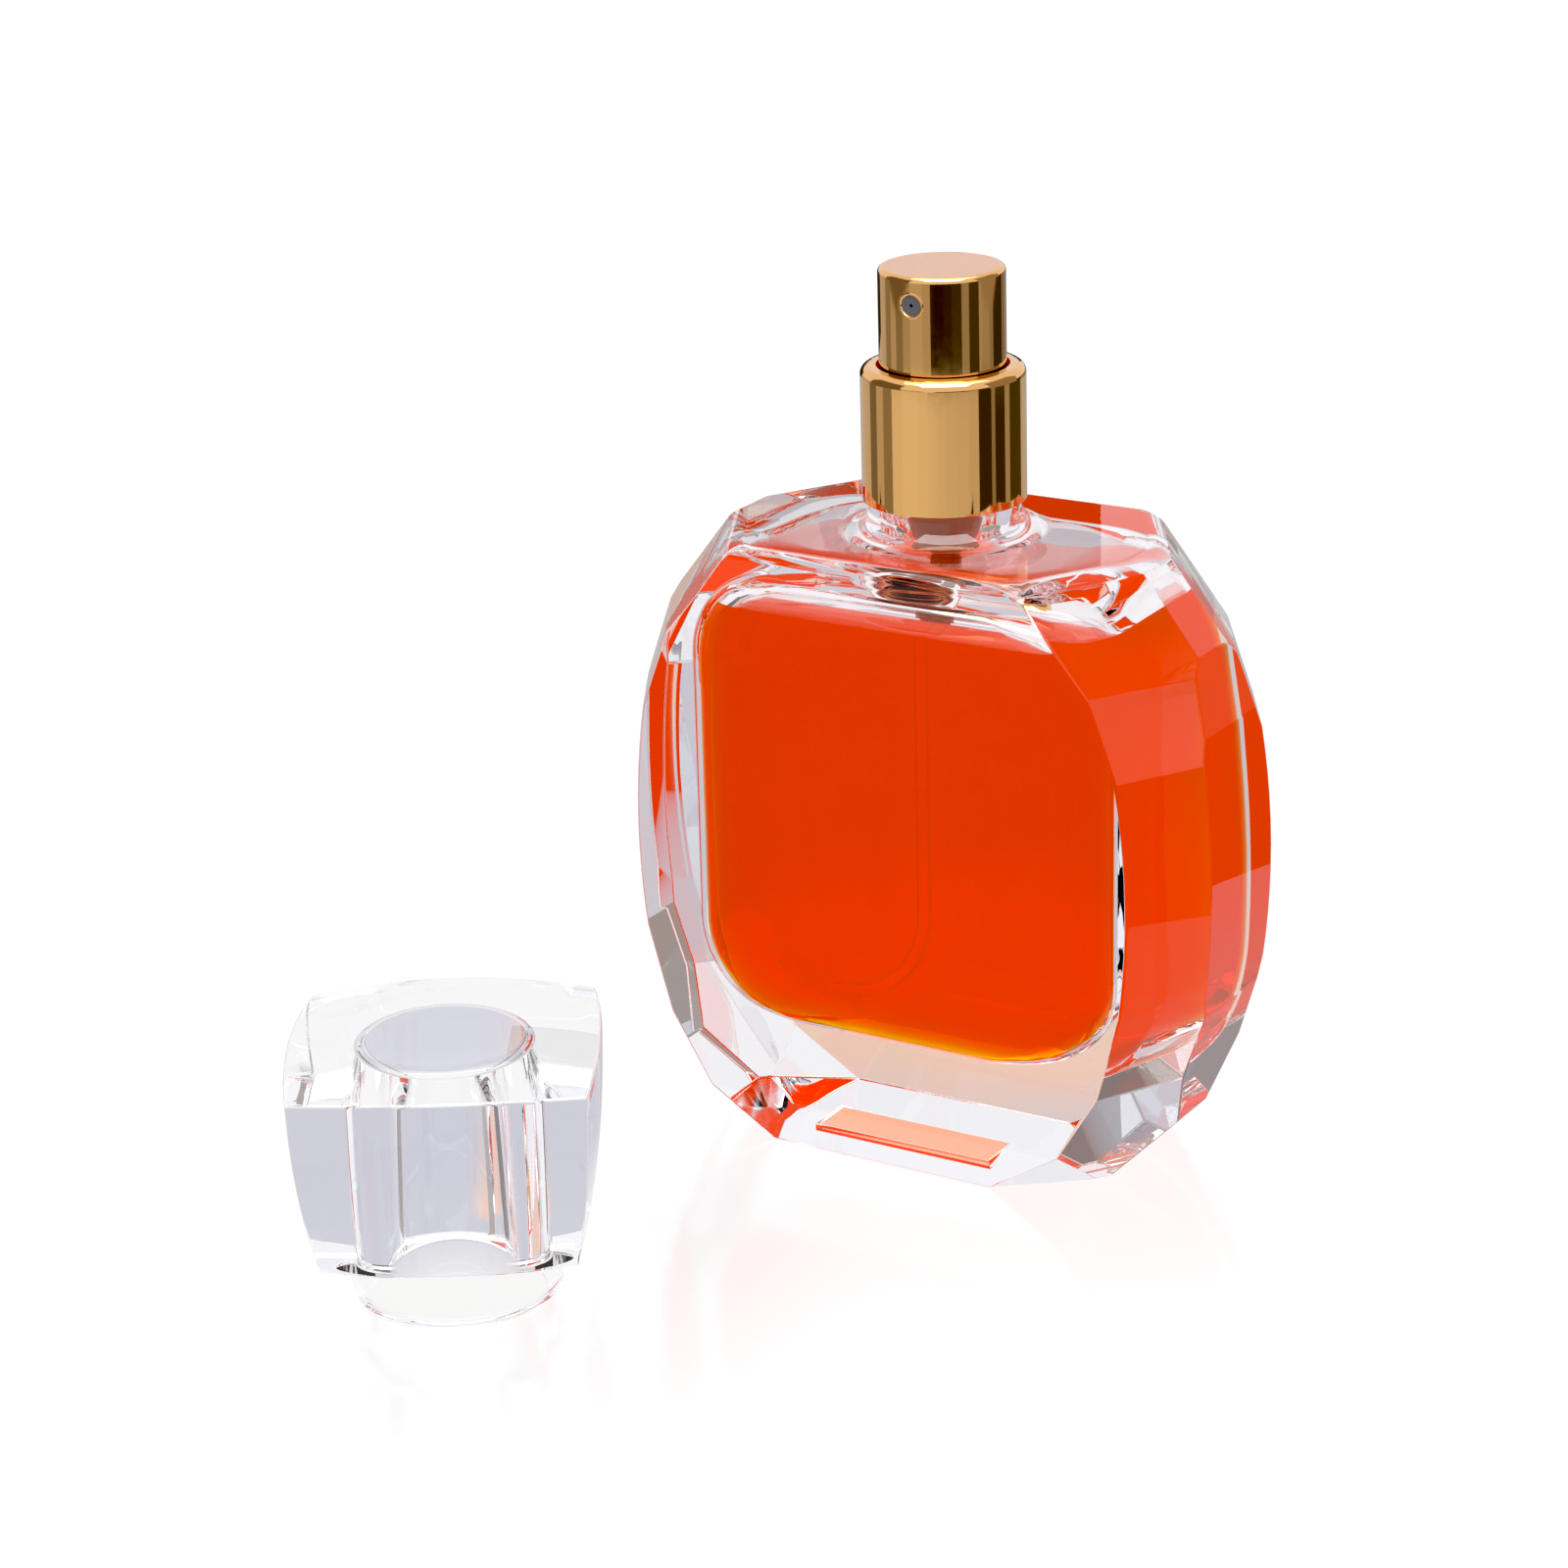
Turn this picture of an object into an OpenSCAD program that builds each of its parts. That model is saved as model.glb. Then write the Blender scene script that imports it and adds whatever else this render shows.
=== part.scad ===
// Perfume bottle: a cushion-cut glass flacon with a crimped spray pump and a
// clear acrylic cap. Millimetres, +Z up. The bottle stands on z = 0, the pump
// axis is the Z axis and the front face looks to -Y. The cap stands beside
// the bottle, mouth down.

/* [Glass body] */
// Overall width of the glass, side to side
body_w = 70.4; // [62:0.1:86]
// Overall depth of the glass, front face to back face
body_d = 33; // [30:0.1:40]
// Height of the glass shoulder above the table
body_h = 67.8; // [58:0.1:82]
// Radius of the slow upright bulge of the tall side facets
bulge_r = 96; // [70:1:200]
// Thickness of the front and back walls
wall_front = 4.2; // [3:0.1:5.5]
// Thickness of the side walls at the widest height
wall_side = 9.5; // [7:0.1:11]
// Rounding of the cavity's long edges, front and back
cavity_edge = 2; // [1:0.5:5]
// Thickness of the glass floor
floor_t = 13; // [8:0.1:15]
// Thickness of the glass above the cavity
shoulder_t = 4.4; // [3:0.1:6]
// Gap between the liquid's surface and the roof of the cavity
air_gap = 3.2; // [2:0.1:10]

/* [Neck finish] */
// Step from the neck's waist out to the crimp ring
ring_step = 1.1; // [0.9:0.05:1.3]
// Height of the crimp ring
ring_h = 3.2; // [2.5:0.1:4]
// Thickness of the neck's wall at the waist
neck_wall = 1.65; // [1.4:0.05:1.9]
// Radial gap between the throat and the pump barrel
throat_gap = 0.55; // [0.4:0.05:0.8]
// Height of the neck above the shoulder
neck_h = 10.4; // [9:0.1:14]
// Radius of the fillet between the shoulder and the neck
neck_fillet = 3.6; // [2:0.1:5]

/* [Collar and ferrule] */
// Gap between the gold collar and the glass shoulder
collar_gap = 3.5; // [3:0.1:5]
// How far the collar covers the resting actuator
mouth_cover = 0.9; // [0.5:0.1:2]
// Width of the collar's rolled rim
rim_w = 1.7; // [1.5:0.05:2.1]
// Sheet thickness of the collar
collar_t = 0.5; // [0.35:0.05:0.6]
// Rounding of the collar's top edge
collar_edge = 1; // [0.6:0.1:1.2]
// Radial gap between the collar's mouth and the actuator
mouth_gap = 0.35; // [0.25:0.05:0.6]
// Radial gap between the crimp ring and the ferrule
ring_gap = 0.35; // [0.25:0.05:0.5]
// Sheet thickness of the crimped ferrule
ferrule_t = 0.4; // [0.3:0.05:0.45]

/* [Pump] */
// Stroke of the actuator
stroke = 4.2; // [3:0.1:4.2]
// Thickness of the pump barrel's wall
barrel_wall = 0.95; // [0.8:0.05:1.1]
// Radius of the barrel's working bore
bore_r = 3.25; // [3.1:0.05:3.4]
// Outer radius of the hollow stem
stem_r = 1.75; // [1.6:0.05:1.9]
// Radius of the check ball
ball_r = 1.1; // [1:0.05:1.2]
// Lift of the check ball
ball_lift = 0.4; // [0.3:0.05:0.5]
// Wire radius of the return spring
wire_r = 0.24; // [0.18:0.02:0.26]
// Turns of the return spring
spring_turns = 6; // [5:1:7]
// Outer radius of the dip tube
tube_r = 1; // [0.9:0.05:1.1]
// Distance kept between the dip tube's end and the side of the cavity
tube_clear = 7.6; // [5:0.1:12]
// Sweep of the dip tube's bend, in degrees
tube_bend_deg = 130; // [60:5:135]

/* [Actuator] */
// Height of the actuator
button_h = 11.4; // [10.5:0.1:14]
// Rounding of the actuator's top edge
button_edge = 0.6; // [0.4:0.1:1]
// Distance of the spray hole below the actuator's top
spray_drop = 3; // [2.4:0.1:4]
// Radius of the nozzle insert
insert_r = 1.1; // [1:0.05:1.4]

/* [Cap] */
// Width of the cap at its top
cap_w = 31.8; // [30:0.1:38]
// Depth of the cap at its top
cap_d = 33; // [28:0.1:40]
// Thickness of the cap above its bore
cap_roof = 2.5; // [1.8:0.1:6]
// Headroom above the actuator when the cap is on
cap_head = 0.8; // [0.2:0.1:2]
// Height of the round foot under the block
foot_h = 6; // [4:0.1:7]
// Thickness of the round foot around the liner
foot_wall = 1.1; // [0.6:0.05:1.5]
// Radius of the bulge of the cap's sides
side_bulge_r = 95; // [60:1:150]
// Radius of the bulge of the cap's front and back
front_bulge_r = 50; // [45:1:150]
// Radius of the cap's domed top
dome_r = 112; // [80:1:200]
// Radial clearance of the cap over the collar
cap_fit = 0.2; // [0.1:0.05:0.3]
// Where the cap stands: distance to the bottle's left
cap_left = 24.2; // [20:0.1:60]
// Where the cap stands: distance in front of the pump axis
cap_front = 61.7; // [58:0.1:90]
// How far the cap is turned about its own axis, in degrees
cap_yaw = 32; // [0:1:90]

/* [Base label] */
// Length of the blank base label
label_l = 21; // [12:0.5:24]
// Width of the blank base label
label_w = 9; // [6:0.1:12]

/* [Hidden] */
$fn = 96;
far = 120;                        // larger than the whole object
contact = 0.05;                   // side clearance of glued and pressed parts
running = 0.03;                   // radial clearance of sliding pump parts
mid_z = body_h / 2;               // widest height of the glass
neck_top = body_h + neck_h;
gasket_t = 1;
flange_t = 0.8;
flange_z = neck_top + gasket_t;
ferrule_top = flange_z + flange_t + ferrule_t;
barrel_r = bore_r + barrel_wall;            // the neck, collar and cap grow from the bore
throat_r = barrel_r + throat_gap;
waist_r = throat_r + neck_wall;
ring_r = waist_r + ring_step;
ferrule_r = ring_r + ring_gap + ferrule_t;
collar_r = ferrule_r + contact + collar_t;
button_r = collar_r - rim_w - mouth_gap;
button_z = ferrule_top + stroke + 0.3;      // underside of the resting actuator
collar_z = body_h + collar_gap;
collar_top = button_z + mouth_cover;
collar_h = collar_top - collar_z;
button_top = button_z + button_h;
spray_z = button_top - spray_drop;
stem_top = button_z + 4.6;
guide_h = 2.8;
seal_t = 0.9;
guide_z = flange_z + flange_t - guide_h;
piston_top = guide_z - seal_t - 0.3;
piston_h = 3;
piston_z = piston_top - piston_h;
barrel_floor = piston_z - stroke - 2 * wire_r * (spring_turns + 1) - 1.1;
seat_t = 0.5;
ball_seat_r = 0.65;
ball_seat_z = barrel_floor - 2 * ball_r - ball_lift + ball_drop();
spigot_z = ball_seat_z - 2.4;
spigot_r = tube_r + 0.7;
socket_top = ball_seat_z - 0.6;             // where the dip tube stops in the spigot
cavity_w = body_w - 2 * wall_side;
cavity_d = body_d - 2 * wall_front;
cavity_top = body_h - shoulder_t;
liquid_top = cavity_top - air_gap;
tube_in_r = tube_r - 0.35;
tube_low_z = floor_t + 0.5 + tube_r;        // lowest point of the tube's centre line
tube_bend_r = (cavity_w / 2 - tube_clear) / (1 + sin(tube_bend_deg - 90));
sleeve_t = 0.8;
sleeve_r = collar_r + cap_fit + sleeve_t;   // outer radius of the cap's liner
sleeve_h = button_top - collar_z + cap_head;
cap_h = sleeve_h + cap_roof;
foot_r = sleeve_r + foot_wall;
insert_in = button_r - 1.5;                 // inner end of the nozzle insert
recess = 0.4;

// Facets of the glass, one corner and one side of it. Each is cut four or two
// times by symmetry. Columns: turn of the facet away from the side towards the
// front, upward tilt, and the place it cuts: share of the half width and share
// of the height, on the front face for the corners and at the middle for the sides.
CORNER_FACETS = [[30, 18, 0.81, 0.72], [30, 35, 0.63, 0.90], [55, 42, 0.44, 1.00],
                 [30, -14, 0.81, 0.30], [30, -28, 0.69, 0.14], [52, -45, 0.38, 0.00]];
SIDE_FACETS = [[0, 15, 1.00, 0.67], [0, 38, 0.92, 0.85],
               [0, -18, 1.00, 0.34], [0, -45, 0.875, 0.105]];
CORNER_TURN = 30;
CORNER_REACH = 0.85;              // where the tall corner facet meets the front face

// How far the resting ball sinks into its round seat
function ball_drop() = ball_r - sqrt(ball_r * ball_r - ball_seat_r * ball_seat_r);

// ---------- shared shapes ----------

// Ring or disc about the Z axis
module ring(r_out, r_in, z, h) {
    translate([0, 0, z]) difference() {
        cylinder(r = r_out, h = h);
        if (r_in > 0) translate([0, 0, -1]) cylinder(r = r_in, h = h + 2);
    }
}

// Rectangle from corner a to corner b with round corners
module round_rect(a, b, r) {
    translate([a.x + r, a.y]) square([b.x - a.x - 2 * r, b.y - a.y]);
    translate([a.x, a.y + r]) square([b.x - a.x, b.y - a.y - 2 * r]);
    for (x = [a.x + r, b.x - r], y = [a.y + r, b.y - r]) translate([x, y]) circle(r = r);
}

// Everything beyond a plane whose normal is turned and tilted from +X
module beyond(turn, tilt, dist) {
    rotate([0, -tilt, -turn]) translate([dist, -far, -far]) cube([far, 2 * far, 2 * far]);
}

// Distance from the origin of a plane through point p
function reach(turn, tilt, p) =
    p.x * cos(turn) * cos(tilt) - p.y * sin(turn) * cos(tilt) + p.z * sin(tilt);

// The same shape in all four quarters
module four_ways() {
    for (sx = [0, 1], sy = [0, 1]) mirror([sx, 0, 0]) mirror([0, sy, 0]) children();
}

// Everything beyond a slowly bulging upright facet
module beyond_bulge(turn, dist) {
    rotate([0, 0, -turn]) difference() {
        translate([dist - 8, -far / 2, -1]) cube([far / 2, far, body_h + 2]);
        translate([dist - bulge_r, 0, mid_z]) rotate([90, 0, 0])
            cylinder(r = bulge_r, h = 1.2 * far, center = true, $fn = 240);
    }
}

// ---------- glass ----------

module faceted_block() {
    difference() {
        translate([-body_w / 2 - 1, -body_d / 2, 0]) cube([body_w + 2, body_d, body_h]);
        four_ways() {
            for (f = CORNER_FACETS)
                beyond(f[0], f[1], reach(f[0], f[1], [f[2] * body_w / 2, -body_d / 2, f[3] * body_h]));
            beyond_bulge(CORNER_TURN, reach(CORNER_TURN, 0, [CORNER_REACH * body_w / 2, -body_d / 2, 0]));
        }
        for (sx = [0, 1]) mirror([sx, 0, 0]) {
            for (f = SIDE_FACETS)
                beyond(f[0], f[1], reach(f[0], f[1], [f[2] * body_w / 2, 0, f[3] * body_h]));
            beyond_bulge(0, body_w / 2);
        }
    }
}

// Neck profile: fillet from the shoulder, waist and crimp ring
module neck_solid() {
    foot_r = waist_r + 1.6;
    rotate_extrude() union() {
        translate([0, body_h - 1]) square([waist_r, neck_h + 1]);
        translate([0, neck_top - ring_h]) square([ring_r, ring_h]);
        difference() {
            translate([0, body_h - 1]) square([foot_r + neck_fillet, neck_fillet + 1]);
            translate([foot_r + neck_fillet, body_h + neck_fillet]) circle(r = neck_fillet);
        }
    }
}

// The cavity: where three rounded prisms meet. gap shrinks it all round
module cavity(gap = 0) {
    x = cavity_w / 2 - gap;
    y = cavity_d / 2 - gap;
    lo = floor_t + gap;
    hi = cavity_top - gap;
    intersection() {
        rotate([90, 0, 0]) translate([0, 0, -far / 2]) linear_extrude(far)
            round_rect([-x, lo], [x, hi], 10 - gap);
        linear_extrude(far) round_rect([-x, -y], [x, y], 7 - gap);
        rotate([90, 0, 90]) translate([0, 0, -far / 2]) linear_extrude(far)
            round_rect([-y, lo], [y, hi], cavity_edge - gap);
    }
}

module glass_bottle() {
    color([0.95, 0.96, 0.97, 0.5]) difference() {
        union() {
            faceted_block();
            neck_solid();
        }
        cavity();
        translate([0, 0, cavity_top - 2]) cylinder(r = throat_r, h = far);
        translate([-label_l / 2 - 0.5, label_y() - label_w / 2 - 0.5, -1])
            cube([label_l + 1, label_w + 1, 1 + recess]);
    }
}

module fragrance_liquid() {
    color([0.95, 0.25, 0.02]) difference() {
        cavity(0.04);
        translate([-far, -far, liquid_top]) cube([2 * far, 2 * far, far]);
        tube_path(tube_r + 0.02);
        housing_outline(0.02);
    }
}

function label_y() = -3;

module base_label() {
    color([0.96, 0.72, 0.60])
        translate([-label_l / 2, label_y() - label_w / 2, 0.12]) cube([label_l, label_w, recess - 0.12]);
}

// ---------- crimp and collar ----------

module neck_gasket() {
    color("dimgray") ring(ring_r - 0.3, barrel_r + 0.1, neck_top, gasket_t);
}

module crimp_ferrule() {
    lip_z = neck_top - ring_h - 0.1 - ferrule_t;
    color([0.83, 0.66, 0.35]) union() {
        ring(ferrule_r, ferrule_r - ferrule_t, lip_z, ferrule_top - lip_z);
        ring(ferrule_r, bore_r, ferrule_top - ferrule_t, ferrule_t);
        ring(ferrule_r, waist_r + 0.4, lip_z, ferrule_t);
    }
}

module collar_cover() {
    edge = collar_edge;
    mouth_r = button_r + mouth_gap;
    color([0.83, 0.66, 0.35]) rotate_extrude() difference() {
        union() {
            translate([0, collar_z]) square([collar_r, collar_h - edge]);
            translate([0, collar_top - edge]) square([collar_r - edge, edge]);
            translate([collar_r - edge, collar_top - edge]) circle(r = edge);
        }
        translate([-1, collar_z - 1]) square([mouth_r + 1, collar_h + 2]);
        translate([-1, collar_z - 1]) square([collar_r - collar_t + 1, collar_h - edge]);
    }
}

// ---------- pump ----------

// Barrel, ball chamber and spigot, grown by gap all round
module housing_outline(gap = 0) {
    ring(barrel_r + gap, 0, barrel_floor - 0.8 - gap, flange_z - barrel_floor + 0.9 + gap);
    ring(ball_r + 1 + gap, 0, ball_seat_z - 0.6 - gap, barrel_floor - ball_seat_z + 0.2 + gap);
    ring(spigot_r + gap, 0, spigot_z - gap, ball_seat_z - spigot_z + gap);
}

module pump_housing() {
    color("white") difference() {
        union() {
            ring(ring_r - 0.3, 0, flange_z, flange_t);
            housing_outline();
        }
        translate([0, 0, barrel_floor]) cylinder(r = bore_r, h = far);
        translate([0, 0, ball_seat_z]) cylinder(r = ball_r + 0.15, h = far);
        translate([0, 0, spigot_z - 1]) cylinder(r = ball_seat_r, h = far);
        translate([0, 0, spigot_z - 1]) cylinder(r = tube_r, h = socket_top - spigot_z + 1);
    }
}

module stem_guide() {
    color("white") ring(bore_r, stem_r + running, guide_z, guide_h);
}

module stem_seal() {
    color("dimgray") ring(bore_r, stem_r + contact, guide_z - seal_t, seal_t);
}

module spring_seat() {
    color("white") ring(bore_r, 0.6, barrel_floor, seat_t);
}

// Round wire wound between the seat and the piston, with ground ends. A level
// cut through one turn is a long arc, so the wire's outline is bent along it
module return_spring() {
    coil_r = bore_r - wire_r - 0.25;
    low = barrel_floor + seat_t + 0.02;
    high = piston_z - 0.02;
    reach_deg = 360 * wire_r * spring_turns / (high - low);
    outline = [for (t = [0:22.5:337.5]) let (r = coil_r + wire_r * sin(t), a = reach_deg * cos(t))
        [r * cos(a), r * sin(a)]];
    color("silver") translate([0, 0, low])
        linear_extrude(high - low, twist = -360 * spring_turns, slices = 16 * spring_turns, $fn = 12)
            polygon(outline);
}

module check_ball() {
    color("silver") translate([0, 0, barrel_floor - ball_lift - ball_r - 0.02]) sphere(r = ball_r);
}

// Tube down the pump axis, then a bend that lies along the floor of the cavity
module tube_path(r) {
    start_z = socket_top;
    bend_z = tube_low_z + tube_bend_r;
    translate([0, 0, bend_z]) cylinder(r = r, h = start_z - bend_z);
    translate([-tube_bend_r, 0, bend_z]) rotate([90, 0, 0])
        rotate_extrude(angle = -tube_bend_deg) translate([tube_bend_r, 0]) circle(r = r, $fn = 48);
}

module dip_tube() {
    color([0.98, 0.9, 0.85]) difference() {
        tube_path(tube_r);
        tube_path(tube_in_r);
        translate([0, 0, socket_top - 0.5]) cylinder(r = tube_in_r, h = 1);
    }
}

module stem() {
    color("white") difference() {
        ring(stem_r, 0, piston_z + 0.6, stem_top - piston_z - 0.6);
        translate([0, 0, piston_z]) cylinder(r = 0.5, h = far);
    }
}

module piston() {
    color("ivory") difference() {
        ring(bore_r - running, 0, piston_z, piston_h);
        translate([0, 0, piston_z + 0.6]) cylinder(r = stem_r, h = far);
        translate([0, 0, piston_z - 1]) cylinder(r = 0.6, h = far);
    }
}

// ---------- actuator ----------

// Level hole that looks to the front at spray height
module front_hole(r, y_from, y_to) {
    translate([0, -y_from, spray_z]) rotate([90, 0, 0]) cylinder(r = r, h = y_to - y_from, $fn = 48);
}

module actuator_shell() {
    t = 0.45;
    edge = button_edge;
    color([0.83, 0.66, 0.35]) difference() {
        rotate_extrude() union() {
            translate([0, button_z]) square([button_r, button_h - edge]);
            translate([0, button_top - edge]) square([button_r - edge, edge]);
            translate([button_r - edge, button_top - edge]) circle(r = edge, $fn = 48);
        }
        translate([0, 0, button_z - 1]) cylinder(r = button_r - t, h = button_h - t + 1);
        front_hole(insert_r + 0.25, button_r - 3, button_r + 3);
    }
}

module actuator_core() {
    r = button_r - 0.45;
    h = button_h - 0.45;
    color("white") difference() {
        ring(r, 0, button_z, h);
        difference() {                                  // hollow skirt
            translate([0, 0, button_z - 1]) cylinder(r = r - 0.9, h = 7.4);
            translate([0, 0, button_z - 2]) cylinder(r = stem_r + 1.25, h = 10);
        }
        translate([0, 0, button_z - 1]) cylinder(r = stem_r + running, h = 1 + stem_top - button_z + 0.1);
        translate([0, 0, stem_top]) cylinder(r = 0.6, h = spray_z - stem_top);
        front_hole(0.5, 0, insert_in);
        front_hole(insert_r, insert_in - 0.05, button_r + 3);
    }
}

module nozzle_insert() {
    color("lightgray") difference() {
        front_hole(insert_r, insert_in, button_r - 0.2);
        front_hole(0.2, insert_in - 0.25, button_r + 1);
        front_hole(0.6, insert_in - 0.25, insert_in + 0.75);
    }
}

// ---------- cap ----------

module at_cap() {
    translate([-cap_left, -cap_front, 0]) rotate([0, 0, cap_yaw]) children();
}

// Keeps what is inside a wall that bulges both ways and is widest at height z
module bulging_wall(turn, dist, r, z) {
    rotate([0, 0, turn]) translate([dist - r, 0, z]) sphere(r = r, $fn = 240);
}

module cap_block() {
    color([0.95, 0.96, 0.98, 0.4]) at_cap() difference() {
        intersection() {
            translate([-cap_w, -cap_d, foot_h]) cube([2 * cap_w, 2 * cap_d, cap_h]);
            bulging_wall(0, cap_w / 2, side_bulge_r, cap_h - 1);
            bulging_wall(180, cap_w / 2, side_bulge_r, cap_h - 1);
            bulging_wall(90, cap_d / 2, front_bulge_r, cap_h - 1);
            bulging_wall(270, cap_d / 2, front_bulge_r, cap_h - 1);
            translate([0, 0, cap_h - dome_r]) sphere(r = dome_r, $fn = 240);
        }
        translate([0, 0, -1]) cylinder(r = sleeve_r, h = sleeve_h + 1.2);
    }
}

module cap_sleeve() {
    color([0.97, 0.97, 0.99, 0.4]) at_cap() difference() {
        union() {
            cylinder(r = sleeve_r, h = sleeve_h);
            cylinder(r = foot_r, h = foot_h);
        }
        translate([0, 0, -1]) cylinder(r = sleeve_r - sleeve_t, h = far);
    }
}

// ---------- nodes ----------

glass_bottle();
fragrance_liquid();
base_label();
neck_gasket();
crimp_ferrule();
collar_cover();
pump_housing();
stem_guide();
stem_seal();
spring_seat();
return_spring();
check_ball();
dip_tube();
stem();
piston();
actuator_core();
actuator_shell();
nozzle_insert();
cap_block();
cap_sleeve();
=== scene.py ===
# %% [markdown]
# # Perfume bottle: looks
# The object is a cushion-cut glass flacon of orange-red fragrance with a gold spray pump, and
# its clear acrylic cap standing beside it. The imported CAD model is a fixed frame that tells
# where every part is. Clear parts could show their CAD meshes, but light is bent by the
# smallest flat spot in a skin, so this script builds them again with finer, unbroken skins.
# It then finishes every part and lights the set as a white product shot. Lengths are in
# metres, and MM turns millimetres into metres.

# %% Frame
import math

import bmesh
import bpy
from mathutils import Matrix, Vector


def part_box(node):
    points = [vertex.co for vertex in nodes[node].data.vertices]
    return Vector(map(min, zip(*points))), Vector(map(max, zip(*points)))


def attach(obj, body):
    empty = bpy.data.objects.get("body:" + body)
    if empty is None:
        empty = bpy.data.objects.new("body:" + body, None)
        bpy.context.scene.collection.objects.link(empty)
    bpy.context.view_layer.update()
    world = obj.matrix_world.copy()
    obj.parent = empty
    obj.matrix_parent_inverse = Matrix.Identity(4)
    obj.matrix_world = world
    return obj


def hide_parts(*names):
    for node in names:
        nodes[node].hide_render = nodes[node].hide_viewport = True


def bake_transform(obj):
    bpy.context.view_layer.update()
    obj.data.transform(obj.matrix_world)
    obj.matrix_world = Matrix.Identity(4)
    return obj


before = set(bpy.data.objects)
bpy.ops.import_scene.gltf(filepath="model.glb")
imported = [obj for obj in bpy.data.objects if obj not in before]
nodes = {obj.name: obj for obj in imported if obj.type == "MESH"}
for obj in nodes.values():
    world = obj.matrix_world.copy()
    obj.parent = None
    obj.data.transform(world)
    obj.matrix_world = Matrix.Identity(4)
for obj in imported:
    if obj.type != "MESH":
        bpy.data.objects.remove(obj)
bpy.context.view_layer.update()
MM = 0.001

# %% [markdown]
# ## Sizes of the glass
# The flacon is one thick lump of glass with a hollow for the fragrance. Its sizes could all
# be typed in again, but a size read from the frame can't drift from the CAD part, so that is
# done wherever a part's box tells it. Inner sizes, which no box tells, are named here and
# agree with the CAD source.

# %% Sizes of the glass
glass_low, glass_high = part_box("glass_bottle")
HALF_W, HALF_D, NECK_TOP = glass_high[0], glass_high[1], glass_high[2]
SHOULDER = 67.8 * MM              # height of the glass shoulder
MID_Z = SHOULDER / 2              # widest height of the glass
BULGE_R = 96 * MM                 # upright bulge of the tall side facets
RING_R, RING_H = 7.5 * MM, 3.2 * MM
WAIST_R, THROAT_R = 6.4 * MM, 4.75 * MM
NECK_FOOT_R, NECK_FILLET = 8 * MM, 3.6 * MM
print(f"glass: {2 * HALF_W / MM:.1f} wide, {2 * HALF_D / MM:.1f} deep, neck top at {NECK_TOP / MM:.1f} mm")

# %% [markdown]
# ## Sizes of the cavity
# Seen from the front the hollow is a rectangle with wide round corners, and its walls are far
# thicker at the sides than at the front. Half sizes are kept rather than whole ones, because
# the bottle is symmetrical about its own middle and every point is found from there.

# %% Sizes of the cavity
CAVITY_W = HALF_W - 9.5 * MM      # half width of the cavity
CAVITY_D = HALF_D - 4.2 * MM      # half depth of the cavity
CAVITY_LOW, CAVITY_HIGH = 13 * MM, SHOULDER - 4.4 * MM
ROUND_FRONT, ROUND_PLAN, ROUND_SIDE = 10 * MM, 7 * MM, 2 * MM
LIQUID_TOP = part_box("fragrance_liquid")[1][2]
print(f"cavity: {2 * CAVITY_W / MM:.1f} wide, {2 * CAVITY_D / MM:.1f} deep, "
      f"filled to {LIQUID_TOP / MM:.1f} mm")

# %% [markdown]
# ## Loops of points
# Every clear skin here is drawn as a stack of closed loops, like the hoops of a barrel. A
# loop could be made by a curve object, but plain points are easy to measure and move. One
# rule gives them all: a rectangle with round corners, which is a circle once its half sizes
# equal the corner radius. Loops of equal length can then be joined point by point.

# %% Loops of points
LOOP = 96                         # points in every closed loop of the lofted surfaces


def round_loop(half_x, half_y, corner, z):
    """LOOP points of a round-cornered rectangle at height z, counter-clockwise from +X."""
    points = []
    for k in range(LOOP):
        angle = 2 * math.pi * (k + 0.5) / LOOP
        c, s = math.cos(angle), math.sin(angle)
        points.append((math.copysign(half_x - corner, c) + corner * c,
                       math.copysign(half_y - corner, s) + corner * s, z))
    return points


def circle_loop(radius, z):
    return round_loop(radius, radius, radius, z)


def arc(cx, cz, radius, start, end, steps):
    """Points (r, z) along an arc of a profile, angles in degrees."""
    return [(cx + radius * math.cos(math.radians(start + (end - start) * k / steps)),
             cz + radius * math.sin(math.radians(start + (end - start) * k / steps)))
            for k in range(steps + 1)]


print("a loop has", len(circle_loop(MM, 0)), "points")

# %% [markdown]
# ## From loops to a skin
# Joining each loop to the next by four-sided faces gives one continuous skin. Blender could
# do this with a screw modifier. Joined by a function, each band of faces can also be given
# its own finish, which the glass needs where it touches the fragrance.

# %% From loops to a skin
def add_loop(bm, points):
    return [bm.verts.new(p) for p in points]


def join_loops(bm, a, b, material=0):
    """Quads between two loops of the same length."""
    for k in range(len(a)):
        m = (k + 1) % len(a)
        bm.faces.new((a[k], a[m], b[m], b[k])).material_index = material


def loft(bm, loops, materials=None):
    """Joins a list of point loops into a tube; returns the first and last vertex loops."""
    rings = [add_loop(bm, loop) for loop in loops]
    for k in range(len(rings) - 1):
        join_loops(bm, rings[k], rings[k + 1], materials[k] if materials else 0)
    return rings[0], rings[-1]


print("faces between two loops:", LOOP)

# %% [markdown]
# ## Finishing a mesh
# A skin needs outward normals and smooth shading before light can pass through it rightly.
# Big flat facets beside narrow rounded edges would shade as if they were bent, so faceted
# pieces also get weighted normals, which let the largest face decide.

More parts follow.
